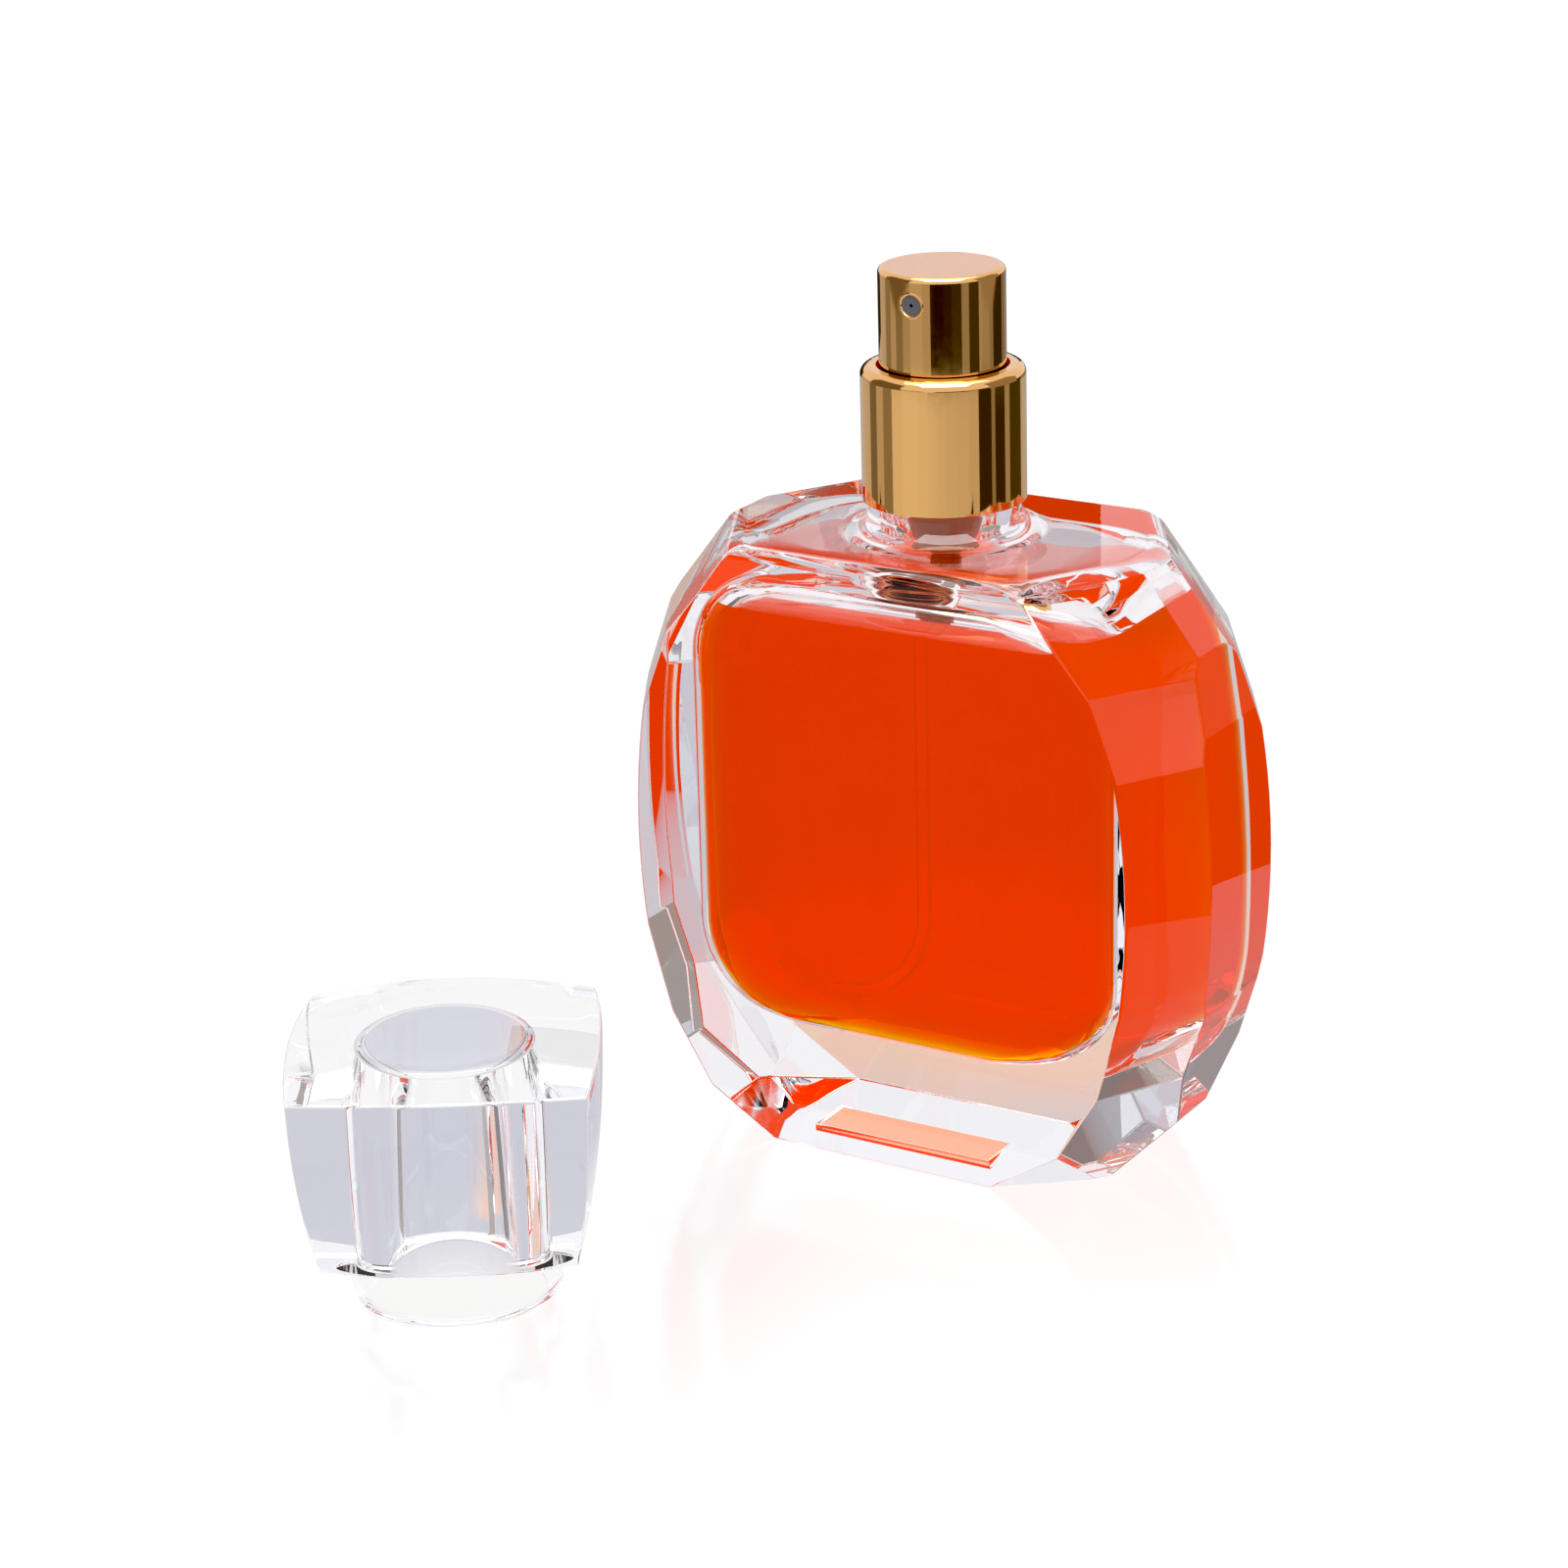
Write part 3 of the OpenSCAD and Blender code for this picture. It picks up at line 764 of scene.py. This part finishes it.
# %% [markdown]
# ## A loop round the cap
# Where two bulging walls meet, the corner is first found by stepping back and forth between
# the two formulas. One quarter of the loop is then drawn as half a side wall, the rounded
# corner and half a front wall, and mirrored into the other three. It has the same number of
# points as every other loop, so the round foot can be joined to it.

# %% A loop round the cap
WALL_POINTS, CORNER_POINTS = 9, 6     # a quarter has two half walls and a corner: 24 points
CORNER_TRIES = 12                     # steps between the two walls until the corner stays put


def cap_corner(height, inset):
    """Centre of the corner's round, found by going back and forth between the walls."""
    cx, cy = CAP_W, CAP_D
    for _ in range(CORNER_TRIES):
        z = height(cx, cy)
        cx, cy = side_reach(cy, z, inset + CAP_EDGE), front_reach(cx, z, inset + CAP_EDGE)
    return cx, cy


def block_loop(height, inset=0.0):
    """LOOP points round the block, corners rounded. height(x, y) gives each point's z."""
    cx, cy = cap_corner(height, inset)
    quarter = []
    for k in range(WALL_POINTS):
        y = cy * (k + 0.5) / WALL_POINTS
        quarter.append((side_reach(y, height(cx, y), inset), y))
    lean = math.asin(cy / SIDE_BULGE), math.pi / 2 - math.asin(cx / FRONT_BULGE)
    for k in range(CORNER_POINTS):
        t = lean[0] + (lean[1] - lean[0]) * (k + 0.5) / CORNER_POINTS
        quarter.append((cx + CAP_EDGE * math.cos(t), cy + CAP_EDGE * math.sin(t)))
    for k in range(WALL_POINTS):
        x = cx * (WALL_POINTS - k - 0.5) / WALL_POINTS
        quarter.append((x, front_reach(x, height(x, cy), inset)))
    points = []
    for sx, sy, part in ((1, 1, quarter), (-1, 1, quarter[::-1]), (-1, -1, quarter), (1, -1, quarter[::-1])):
        points += [(sx * x, sy * y, height(x, y)) for x, y in part]
    return points


print("a loop round the cap has", len(block_loop(lambda x, y: FOOT_H + CAP_EDGE)), "points")

# %% [markdown]
# ## The cap's outside
# From the foot's rim the loops climb the foot, step out under the block, climb its walls to
# the edge of the dome and close in over the top. Each edge gets its own short row of loops,
# so it catches a thin line of light as a real polished edge does.

# %% The cap's outside
WALL_STEPS, EDGE_STEPS, DOME_STEPS = 16, 4, 12


def foot_loops():
    """The round foot, up to where it meets the underside of the block."""
    rim = FOOT_R - FOOT_EDGE
    turned = [(BORE_R + MOUTH_CHAMFER, 0), (rim, 0)] + arc(rim, FOOT_EDGE, FOOT_EDGE, -60, 0, 3)
    turned += [(FOOT_R, FOOT_H - FOOT_ROOT)]
    turned += arc(FOOT_R + FOOT_ROOT, FOOT_H - FOOT_ROOT, FOOT_ROOT, 180, 90, 3)[1:]
    return [circle_loop(r, z) for r, z in turned]


def wall_loops():
    """Bottom edge, walls and top edge of the block."""
    low = FOOT_H + CAP_EDGE
    loops = []
    for k in range(EDGE_STEPS + 1):
        t = math.pi / 2 * k / EDGE_STEPS
        loops.append(block_loop(lambda x, y: low - CAP_EDGE * math.cos(t), CAP_EDGE * (1 - math.sin(t))))
    for k in range(1, WALL_STEPS + 1):
        loops.append(block_loop(lambda x, y: low + (dome_z(x, y) - CAP_EDGE - low) * k / WALL_STEPS))
    for k in range(1, EDGE_STEPS + 1):
        t = math.pi / 2 * k / EDGE_STEPS
        loops.append(block_loop(lambda x, y: dome_z(x, y) - CAP_EDGE * (1 - math.sin(t)),
                                CAP_EDGE * (1 - math.cos(t))))
    return loops


def dome_loops(rim):
    """The top, from its rim towards its middle."""
    shares = [1 - k / DOME_STEPS for k in range(1, DOME_STEPS)]
    return [[(x * share, y * share, dome_z(x * share, y * share)) for x, y, _ in rim] for share in shares]


print("loops round the foot:", len(foot_loops()), "- round the walls:", len(wall_loops()))

# %% [markdown]
# ## The clear cap
# The outside and the bore are two tubes that are joined at the foot's rim, so the cap is one
# closed skin with a blind hole. It stands for both CAD parts and moves with the cap's body.

# %% The clear cap
def bore_loops():
    """The blind bore, with its rounded end."""
    bore = [(BORE_R, MOUTH_CHAMFER)] + [(BORE_R, SLEEVE_H * share) for share in (0.2, 0.4, 0.6, 0.8)]
    bore += arc(BORE_R - BORE_ROUND, SLEEVE_H - BORE_ROUND, BORE_ROUND, 0, 90, 8)
    return [circle_loop(r, z) for r, z in bore]


def build_cap():
    def placed(loops):
        return [[cap_place @ Vector(p) for p in loop] for loop in loops]

    walls = wall_loops()
    bm = bmesh.new()
    first, top = loft(bm, placed(foot_loops() + walls + dome_loops(walls[-1])))
    bm.faces.new(top)
    mouth, end = loft(bm, placed(bore_loops()))
    bm.faces.new(end)
    join_loops(bm, first, mouth)
    return finish_mesh(bm, "cap_clear", [acrylic], weighted=True)


cap_piece = build_cap()
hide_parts("cap_block", "cap_sleeve")
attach(cap_piece, "cap")

# %% [markdown]
# ## The pump's spring
# A coil of steel wire lifts the stem back after each spray. Its end turns lie wire on wire
# and its middle turns are open, as on a bought spring. The CAD spring is stiff and the
# piston would run into it; this one takes its place, and is not joined to any body.

# %% The pump's spring
spring_low, spring_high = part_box("return_spring")
WIRE_R, TURNS = 0.24 * MM, 6
WIRE_SIDES, PER_TURN = 8, 32
CLOSED_RISE = 2.05 * WIRE_R       # rise of a closed turn, just over one wire


def spring_rise(turns, length):
    """Height of the wire after some turns: slow at both ends, even in between."""
    open_share = min(max(turns - 1, 0), TURNS - 2) / (TURNS - 2)
    closed = min(turns, 1) + max(turns - TURNS + 1, 0)
    return CLOSED_RISE * closed + (length - 2 * CLOSED_RISE) * open_share


def build_spring():
    middle = Vector(((spring_low[0] + spring_high[0]) / 2, (spring_low[1] + spring_high[1]) / 2, 0))
    radius = (spring_high[0] - spring_low[0]) / 2 - WIRE_R
    start, length = spring_low[2] + WIRE_R, spring_high[2] - spring_low[2] - 2 * WIRE_R
    bm = bmesh.new()
    rings = []
    for k in range(TURNS * PER_TURN + 1):
        turns = k / PER_TURN
        angle = 2 * math.pi * turns
        out = Vector((math.cos(angle), math.sin(angle), 0))
        hub = middle + out * radius + Vector((0, 0, start + spring_rise(turns, length)))
        rings.append(add_loop(bm, [hub + out * WIRE_R * math.cos(a) + Vector((0, 0, WIRE_R * math.sin(a)))
                                   for a in (2 * math.pi * m / WIRE_SIDES for m in range(WIRE_SIDES))]))
    for a, b in zip(rings, rings[1:]):
        join_loops(bm, a, b)
    bm.faces.new(rings[0])
    bm.faces.new(rings[-1])
    return finish_mesh(bm, "pump_spring", [steel])


spring = build_spring()
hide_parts("return_spring")
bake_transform(spring)

# %% [markdown]
# ## The lip round the nozzle
# Where the button's wall is pierced for the spray insert, the metal is turned out into a thin
# bright lip. A torus would float off the round wall at its sides, so the lip is a small bead
# that follows the wall's curve.

# %% The lip round the nozzle
LIP_POINTS, BEAD_POINTS = 48, 10
LIP_THICK, LIP_OUT, LIP_SINK = 0.22 * MM, 0.20 * MM, 0.10 * MM
LIP_FLAT = 0.6                    # the bead stands out less than it is wide


def build_nozzle_ring():
    low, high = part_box("nozzle_insert")
    radius, middle_z = (high[0] - low[0]) / 2 + LIP_OUT, (low[2] + high[2]) / 2
    button_r = -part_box("actuator_shell")[0][1]
    forward = Vector((0, -1, 0))
    bm = bmesh.new()
    rings = []
    for k in range(LIP_POINTS):
        turn = 2 * math.pi * k / LIP_POINTS
        out = Vector((math.cos(turn), 0, math.sin(turn)))
        x = radius * math.cos(turn)
        wall = Vector((x, LIP_SINK - math.sqrt(button_r ** 2 - x ** 2), middle_z + radius * math.sin(turn)))
        bead = [wall + out * LIP_THICK * math.cos(a) + forward * LIP_THICK * LIP_FLAT * math.sin(a)
                for a in (2 * math.pi * m / BEAD_POINTS for m in range(BEAD_POINTS))]
        rings.append(add_loop(bm, bead))
    for k in range(LIP_POINTS):
        join_loops(bm, rings[k], rings[(k + 1) % LIP_POINTS])
    return finish_mesh(bm, "nozzle_ring", [gold])


ring = build_nozzle_ring()
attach(ring, "actuator")

# %% [markdown]
# ## Finishes on the CAD parts
# The collar, the button and the parts inside the pump keep their CAD meshes, which are exact
# turned shapes and need nothing more. Each one is given its finish from a table.

# %% Finishes on the CAD parts
FINISHES = {
    "base_label": label_paper, "neck_gasket": rubber, "crimp_ferrule": gold, "collar_cover": gold,
    "pump_housing": clear_plastic, "stem_guide": white_plastic, "stem_seal": rubber,
    "spring_seat": white_plastic, "check_ball": steel, "dip_tube": tube_plastic,
    "stem": white_plastic, "piston": white_plastic, "actuator_core": white_plastic,
    "actuator_shell": gold, "nozzle_insert": grey_plastic,
}
for name, material in FINISHES.items():
    nodes[name].data.materials.clear()
    nodes[name].data.materials.append(material)
print("CAD parts finished:", len(FINISHES))

# %% [markdown]
# ## The button's satin top
# Only the flat top of the button is brushed. It could be a separate mesh, but the shell is
# one piece of metal, so the faces that look straight up get a second finish instead.

# %% The button's satin top
shell = nodes["actuator_shell"].data
shell.materials.append(gold_top)
button_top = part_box("actuator_shell")[1][2]
LOOKS_UP, TOP_BAND = 0.999, 0.05 * MM
satin = [face for face in shell.polygons
         if face.normal.z > LOOKS_UP and face.center.z > button_top - TOP_BAND]
for face in satin:
    face.material_index = 1
print("satin faces on the button:", len(satin))

# %% [markdown]
# ## Glowing cards
# Glass and gold have little look of their own: they show what stands round them. A studio
# uses white cards and black flags for this, and so does this set. A lamp could do the work of
# a white card, but not of a black flag. A card is a flat sheet that glows, or is nearly dark,
# on one side only, and that the camera can't see. Some are seen only by mirrors, so that
# they change what a surface reflects and not what is seen through it.

# %% Glowing cards
def glow_material(name, strength, colour=(1, 1, 1), one_sided=False):
    """A plain glow. A one-sided one is clear when looked at from behind."""
    material, tree = new_material(name)
    glow = tree.nodes.new("ShaderNodeEmission")
    glow.inputs["Color"].default_value = (*colour, 1)
    glow.inputs["Strength"].default_value = strength
    output = tree.nodes.new("ShaderNodeOutputMaterial")
    shader = glow
    if one_sided:
        side = tree.nodes.new("ShaderNodeNewGeometry")
        clear = tree.nodes.new("ShaderNodeBsdfTransparent")
        shader = tree.nodes.new("ShaderNodeMixShader")
        tree.links.new(side.outputs["Backfacing"], shader.inputs["Fac"])
        tree.links.new(glow.outputs[0], shader.inputs[1])
        tree.links.new(clear.outputs[0], shader.inputs[2])
    tree.links.new(shader.outputs[0], output.inputs["Surface"])
    return material


def sheet(name, size, material):
    """A flat sheet of a given width and depth, not part of the object."""
    bm = bmesh.new()
    bmesh.ops.create_grid(bm, x_segments=1, y_segments=1, size=0.5)
    bmesh.ops.scale(bm, verts=bm.verts, vec=(*size, 1))
    mesh = bpy.data.meshes.new(name)
    bm.to_mesh(mesh)
    bm.free()
    mesh.materials.append(material)
    flat = bpy.data.objects.new(name, mesh)
    bpy.context.collection.objects.link(flat)
    return flat


def stage_card(name, place, size, face_to, strength, colour=(1, 1, 1), mirror_only=False):
    """A card that glows, or is black at strength 0. Only reflections see a mirror_only one."""
    card = sheet(name, size, glow_material(name, strength, colour, one_sided=True))
    card.location = place
    card.rotation_euler = (Vector(face_to) - Vector(place)).to_track_quat("Z", "Y").to_euler()
    card.visible_camera = False
    card.visible_shadow = False
    if mirror_only:
        card.visible_diffuse = card.visible_transmission = card.visible_volume_scatter = False
    return card


# %% [markdown]
# ## Bands for the gold
# The upright gold looks down on the table, so its streaks are the table's light and dark
# fields: the lit sheet near the bottle, and the dim room past its edge. A ring of grey
# fields gives them, and only mirrors see it. Each row has the ring's angles, 0 in front of
# the bottle's face and 90 at its right, then a level near the bottle and one further out.

# %% Bands for the gold
BANDS = [(-180, -130, 0.50, 0.35), (-130, -92, 0.60, 0.55), (-92, -76, 0.22, 0.30), (-76, -62, 0.55, 0.50),
         (-62, -46, 0.30, 0.28), (-46, -30, 0.80, 0.45), (-30, -6, 0.85, 0.55), (-6, 8, 0.82, 0.48),
         (8, 14, 0.79, 0.05), (14, 22, 0.76, 0.04), (22, 32, 0.73, 0.04), (32, 46, 0.70, 0.05),
         (46, 64, 0.67, 0.07), (64, 78, 0.62, 0.35), (78, 98, 0.06, 0.08), (98, 104, 0.30, 0.45),
         (104, 122, 0.06, 0.40), (122, 132, 0.40, 0.30), (132, 162, 0.09, 0.06), (162, 180, 0.55, 0.25)]
BAND_EDGES = (0.11, 0.345, 1.6)   # radii where the near and far bands start and end
BAND_STEP = 4                     # degrees spanned by one flat piece of a band
BAND_DROP = 0.025 * MM            # between the white table and the grey one


def stage_bands():
    """A ring of grey fields on the table that only reflections see."""
    bm = bmesh.new()
    levels = sorted({band[2] for band in BANDS} | {band[3] for band in BANDS})
    for start, end, near, far in BANDS:
        steps = max(int((end - start) / BAND_STEP), 1)
        for k in range(steps):
            a0, a1 = (math.radians(start + (end - start) * (k + t) / steps) for t in (0, 1))
            for inner, outer, level in ((0, 1, near), (1, 2, far)):
                r0, r1 = BAND_EDGES[inner], BAND_EDGES[outer]
                corners = [(r0, a0), (r1, a0), (r1, a1), (r0, a1)]
                verts = [bm.verts.new((r * math.sin(a), -r * math.cos(a), 0)) for r, a in corners]
                bm.faces.new(verts).material_index = levels.index(level)
    mesh = bpy.data.meshes.new("bands")
    bm.to_mesh(mesh)
    bm.free()
    for level in levels:
        mesh.materials.append(glow_material(f"band_{level:.2f}", level))
    card = bpy.data.objects.new("bands", mesh)
    bpy.context.collection.objects.link(card)
    card.location.z = -BAND_DROP
    card.visible_camera = card.visible_diffuse = card.visible_transmission = False
    card.visible_volume_scatter = card.visible_shadow = False


stage_bands()
print("gold bands:", len(BANDS))

# %% [markdown]
# ## Soft spots on the table
# Clear things gather light beneath them, and the polish of a table shows best near the
# object. Both need a soft round spot. A painted mask would do, but a round gradient, moved
# and stretched by a mapping node, makes one from a centre and a half size in millimetres.

# %% Soft spots on the table
SPOT_FULL = 0.6                   # level of the gradient from which a spot is at full strength


def spot_mask(tree, centre, half):
    """A soft round spot on a table: 1 in its middle, 0 at its rim."""
    place = tree.nodes.new("ShaderNodeTexCoord")
    shift = tree.nodes.new("ShaderNodeMapping")
    ball = tree.nodes.new("ShaderNodeTexGradient")
    spread = tree.nodes.new("ShaderNodeMapRange")
    ball.gradient_type = "SPHERICAL"
    shift.vector_type = "TEXTURE"
    shift.inputs["Location"].default_value = (centre[0] * MM, centre[1] * MM, 0)
    shift.inputs["Scale"].default_value = (half[0] * MM, half[1] * MM, 1)
    spread.inputs["From Max"].default_value = SPOT_FULL
    spread.interpolation_type = "SMOOTHSTEP"
    tree.links.new(place.outputs["Object"], shift.inputs["Vector"])
    tree.links.new(shift.outputs["Vector"], ball.inputs["Vector"])
    tree.links.new(ball.outputs["Fac"], spread.inputs["Value"])
    return spread.outputs["Result"]


print("a spot's soft edge takes up", round(100 * SPOT_FULL), "% of its half size")

# %% [markdown]
# ## A lit sheet
# The bottle stands on a sheet of acrylic that is lit from below. It could be a white plane
# under lamps, but then every shadow would have to be fought. An emission shader glows evenly,
# colour mixes paint pools of light into its spots, and a glossy shader adds the faint mirror.

# %% A lit sheet
TABLE_POLISH = 0.12               # roughness of the sheet's mirror


def tinted(tree, glow, colour, light_pools):
    """Mixes the painted pools of light into the glow's colour, one after another."""
    under = None
    for centre, half, tint in light_pools:
        mix = tree.nodes.new("ShaderNodeMix")
        mix.data_type = "RGBA"
        mix.inputs["A"].default_value = (*colour, 1)
        mix.inputs["B"].default_value = (*tint, 1)
        tree.links.new(spot_mask(tree, centre, half), mix.inputs["Factor"])
        if under:
            tree.links.new(under.outputs["Result"], mix.inputs["A"])
        tree.links.new(mix.outputs["Result"], glow.inputs["Color"])
        under = mix


def mirrored(tree, shader, centre, half, gloss):
    """Adds a spot where the sheet's polish shows as a faint mirror."""
    mirror = tree.nodes.new("ShaderNodeBsdfGlossy")
    mirror.inputs["Roughness"].default_value = TABLE_POLISH
    share = tree.nodes.new("ShaderNodeMath")
    share.operation = "MULTIPLY"
    share.inputs[1].default_value = gloss
    mix = tree.nodes.new("ShaderNodeMixShader")
    tree.links.new(spot_mask(tree, centre, half), share.inputs[0])
    tree.links.new(share.outputs[0], mix.inputs["Fac"])
    tree.links.new(shader.outputs[0], mix.inputs[1])
    tree.links.new(mirror.outputs[0], mix.inputs[2])
    return mix


def table_material(name, colour, light_pools=(), mirrors=()):
    """An evenly glowing sheet with painted pools of light and spots of faint mirror."""
    material, tree = new_material(name)
    glow = tree.nodes.new("ShaderNodeEmission")
    glow.inputs["Color"].default_value = (*colour, 1)
    tinted(tree, glow, colour, light_pools)
    shader = glow
    for centre, half, gloss in mirrors:
        shader = mirrored(tree, shader, centre, half, gloss)
    output = tree.nodes.new("ShaderNodeOutputMaterial")
    tree.links.new(shader.outputs[0], output.inputs["Surface"])
    return material


white_sheet = table_material("table_white", (1.06, 1.06, 1.06), mirrors=[
    ((0, 4), (84, 66), 0.13), ((-24, -62), (50, 46), 0.16)])
# The grey table's spots are painted light: a warm orange pool behind the bottle for the coloured light that
# it casts, and a pale pool round the cap's foot in place of its shadow.
grey_sheet = table_material("table_grey", (0.62, 0.62, 0.69), light_pools=[
    ((-12, 48), (62, 52), (0.90, 0.62, 0.50)), ((-24, -62), (46, 46), (0.95, 0.95, 0.935))])
print("sheets:", white_sheet.name, grey_sheet.name)

# %% [markdown]
# ## Two tables
# A white table that is pure white to the eye is too bright behind clear glass, whose walls
# would vanish. So there are two tables, a hair apart. The camera sees the white one, and
# light that goes through the glass sees the lavender-grey one, as on a set whose backdrop is
# whitened later.

# %% Two tables
TABLE_SIZE = (12, 12)
WHITE_DROP, GREY_DROP = 0.02 * MM, 0.03 * MM      # below the ground; the bands lie in between


def stage_floor(name, drop, seen_directly, material):
    """A table just below the ground, for the camera's eye or for all other light."""
    floor = sheet(name, TABLE_SIZE, material)
    floor.location.z = -drop
    floor.visible_camera = seen_directly
    floor.visible_diffuse = floor.visible_glossy = floor.visible_transmission = not seen_directly
    floor.visible_shadow = not seen_directly


stage_floor("table_white", WHITE_DROP, True, white_sheet)
stage_floor("table_grey", GREY_DROP, False, grey_sheet)
print(f"the tables are {(GREY_DROP - WHITE_DROP) / MM:.2f} mm apart")

# %% [markdown]
# ## Surround and flags
# A white room with a trace of blue fills in everything. It could light the set alone, but
# clear things need something darker at their edges. Two dim flags at the sides give that, and
# a bright strip overhead runs along the gold rims. Two small dark cards close to the bottle
# keep the white room out of what the front face and the shoulder reflect.

# %% Surround and flags
def around(azimuth, elevation, distance, height=0.05):
    """A place round the bottle: azimuth 0 is in front of its face, 90 at its right side."""
    a, e = math.radians(azimuth), math.radians(elevation)
    return (distance * math.sin(a) * math.cos(e), -distance * math.cos(a) * math.cos(e),
            height + distance * math.sin(e))


world = bpy.data.worlds.new("surround")
bpy.context.scene.world = world
world.use_nodes = True
world.node_tree.nodes["Background"].inputs["Color"].default_value = (0.97, 0.965, 1.0, 1)
world.node_tree.nodes["Background"].inputs["Strength"].default_value = 0.97

FLAG_TINT, FLAG_SIZE, FLAG_HEIGHT = (1.0, 0.90, 0.84), (0.42, 0.44), 0.22
for name, x, y, level in (("left_flag", -0.34, -0.21, 0.20), ("right_flag", 0.34, 0.21, 0.36)):
    flag = stage_card(name, (x, y, FLAG_HEIGHT), FLAG_SIZE, (0, 0, FLAG_HEIGHT), level, FLAG_TINT)
    flag.visible_diffuse = flag.visible_volume_scatter = False
stage_card("rim_strip", around(31, 70, 0.5), (0.45, 0.30), (0, 0, 0.08), 8.0, mirror_only=True)
stage_card("front_flag", (0, -0.024, 0.03), (0.11, 0.058), (0, 0, 0.03), 0.0, mirror_only=True)
stage_card("back_flag", (-0.044, 0.046, 0.084), (0.070, 0.026), (-0.008, -0.020, 0.084), 0.05,
           mirror_only=True)

# %% [markdown]
# ## The lamp
# One broad lamp overhead gives soft light with hardly any shadow, like a big softbox. A small
# lamp would throw hard spots of light through the glass, which take very long to render clean.

# %% The lamp
def soft_light(name, place, size, power, aim):
    """A rectangular lamp aimed at a point."""
    data = bpy.data.lights.new(name, "AREA")
    data.shape = "RECTANGLE"
    data.size, data.size_y = size
    data.energy = power
    lamp = bpy.data.objects.new(name, data)
    bpy.context.collection.objects.link(lamp)
    lamp.location = place
    lamp.rotation_euler = (Vector(aim) - Vector(place)).to_track_quat("-Z", "Y").to_euler()
    return lamp


ceiling = soft_light("ceiling", (0, 0, 1.2), (1.2, 1.2), 6, aim=(0, 0, 0.05))
print("lamp:", ceiling.name, ceiling.data.energy, "W")

# %% [markdown]
# ## The camera
# The set is seen from the front right and a little above, through a long lens. The camera
# could be dragged into place, but an angle round the pump's axis, a distance and two slides in
# the camera's own plane can be read again later and changed one at a time.

# %% The camera
def stage_camera(azimuth, elevation, roll, distance, right, up, lens, height):
    """A camera round the pump axis, then slid right and up in its own plane."""
    a, e, r = (math.radians(v) for v in (azimuth, elevation, roll))
    back = Vector((math.sin(a) * math.cos(e), -math.cos(a) * math.cos(e), math.sin(e)))
    side = (-back).cross(Vector((0, 0, 1))).normalized()
    rise = side.cross(-back)
    side, rise = side * math.cos(r) + rise * math.sin(r), rise * math.cos(r) - side * math.sin(r)
    data = bpy.data.cameras.new("camera")
    data.lens, data.sensor_width = lens, 36
    data.clip_start, data.clip_end = 0.01, 50
    camera = bpy.data.objects.new("camera", data)
    bpy.context.collection.objects.link(camera)
    turn = Matrix((side, rise, back)).transposed().to_4x4()
    camera.matrix_world = Matrix.Translation(
        Vector((0, 0, height)) + back * distance + side * right + rise * up) @ turn
    bpy.context.scene.camera = camera


stage_camera(azimuth=31.71, elevation=19.67, roll=-1.62, distance=0.4461,
             right=-17.42 * MM, up=-20.10 * MM, lens=95.33, height=0.060)
print("camera at", [round(v, 3) for v in bpy.context.scene.camera.location])

# %% [markdown]
# ## Render settings
# Colours are shown as they are, with the darkest tones pulled down slightly for crisp blacks.
# Light has to pass many glass faces before it reaches the camera, so it is allowed many more
# bounces than usual; with fewer, the thick base would turn black.

# %% Render settings
scene = bpy.context.scene
scene.view_settings.view_transform = "Standard"
scene.view_settings.look = "None"
scene.view_settings.use_curve_mapping = True
scene.view_settings.curve_mapping.black_level = (0.02, 0.02, 0.02)
scene.cycles.use_denoising = True
scene.cycles.max_bounces = 32
scene.cycles.transmission_bounces = 28
scene.cycles.glossy_bounces = 12
scene.cycles.transparent_max_bounces = 32
scene.cycles.caustics_reflective = True
scene.cycles.caustics_refractive = True
scene.cycles.sample_clamp_indirect = 12
print("bounces:", scene.cycles.max_bounces)
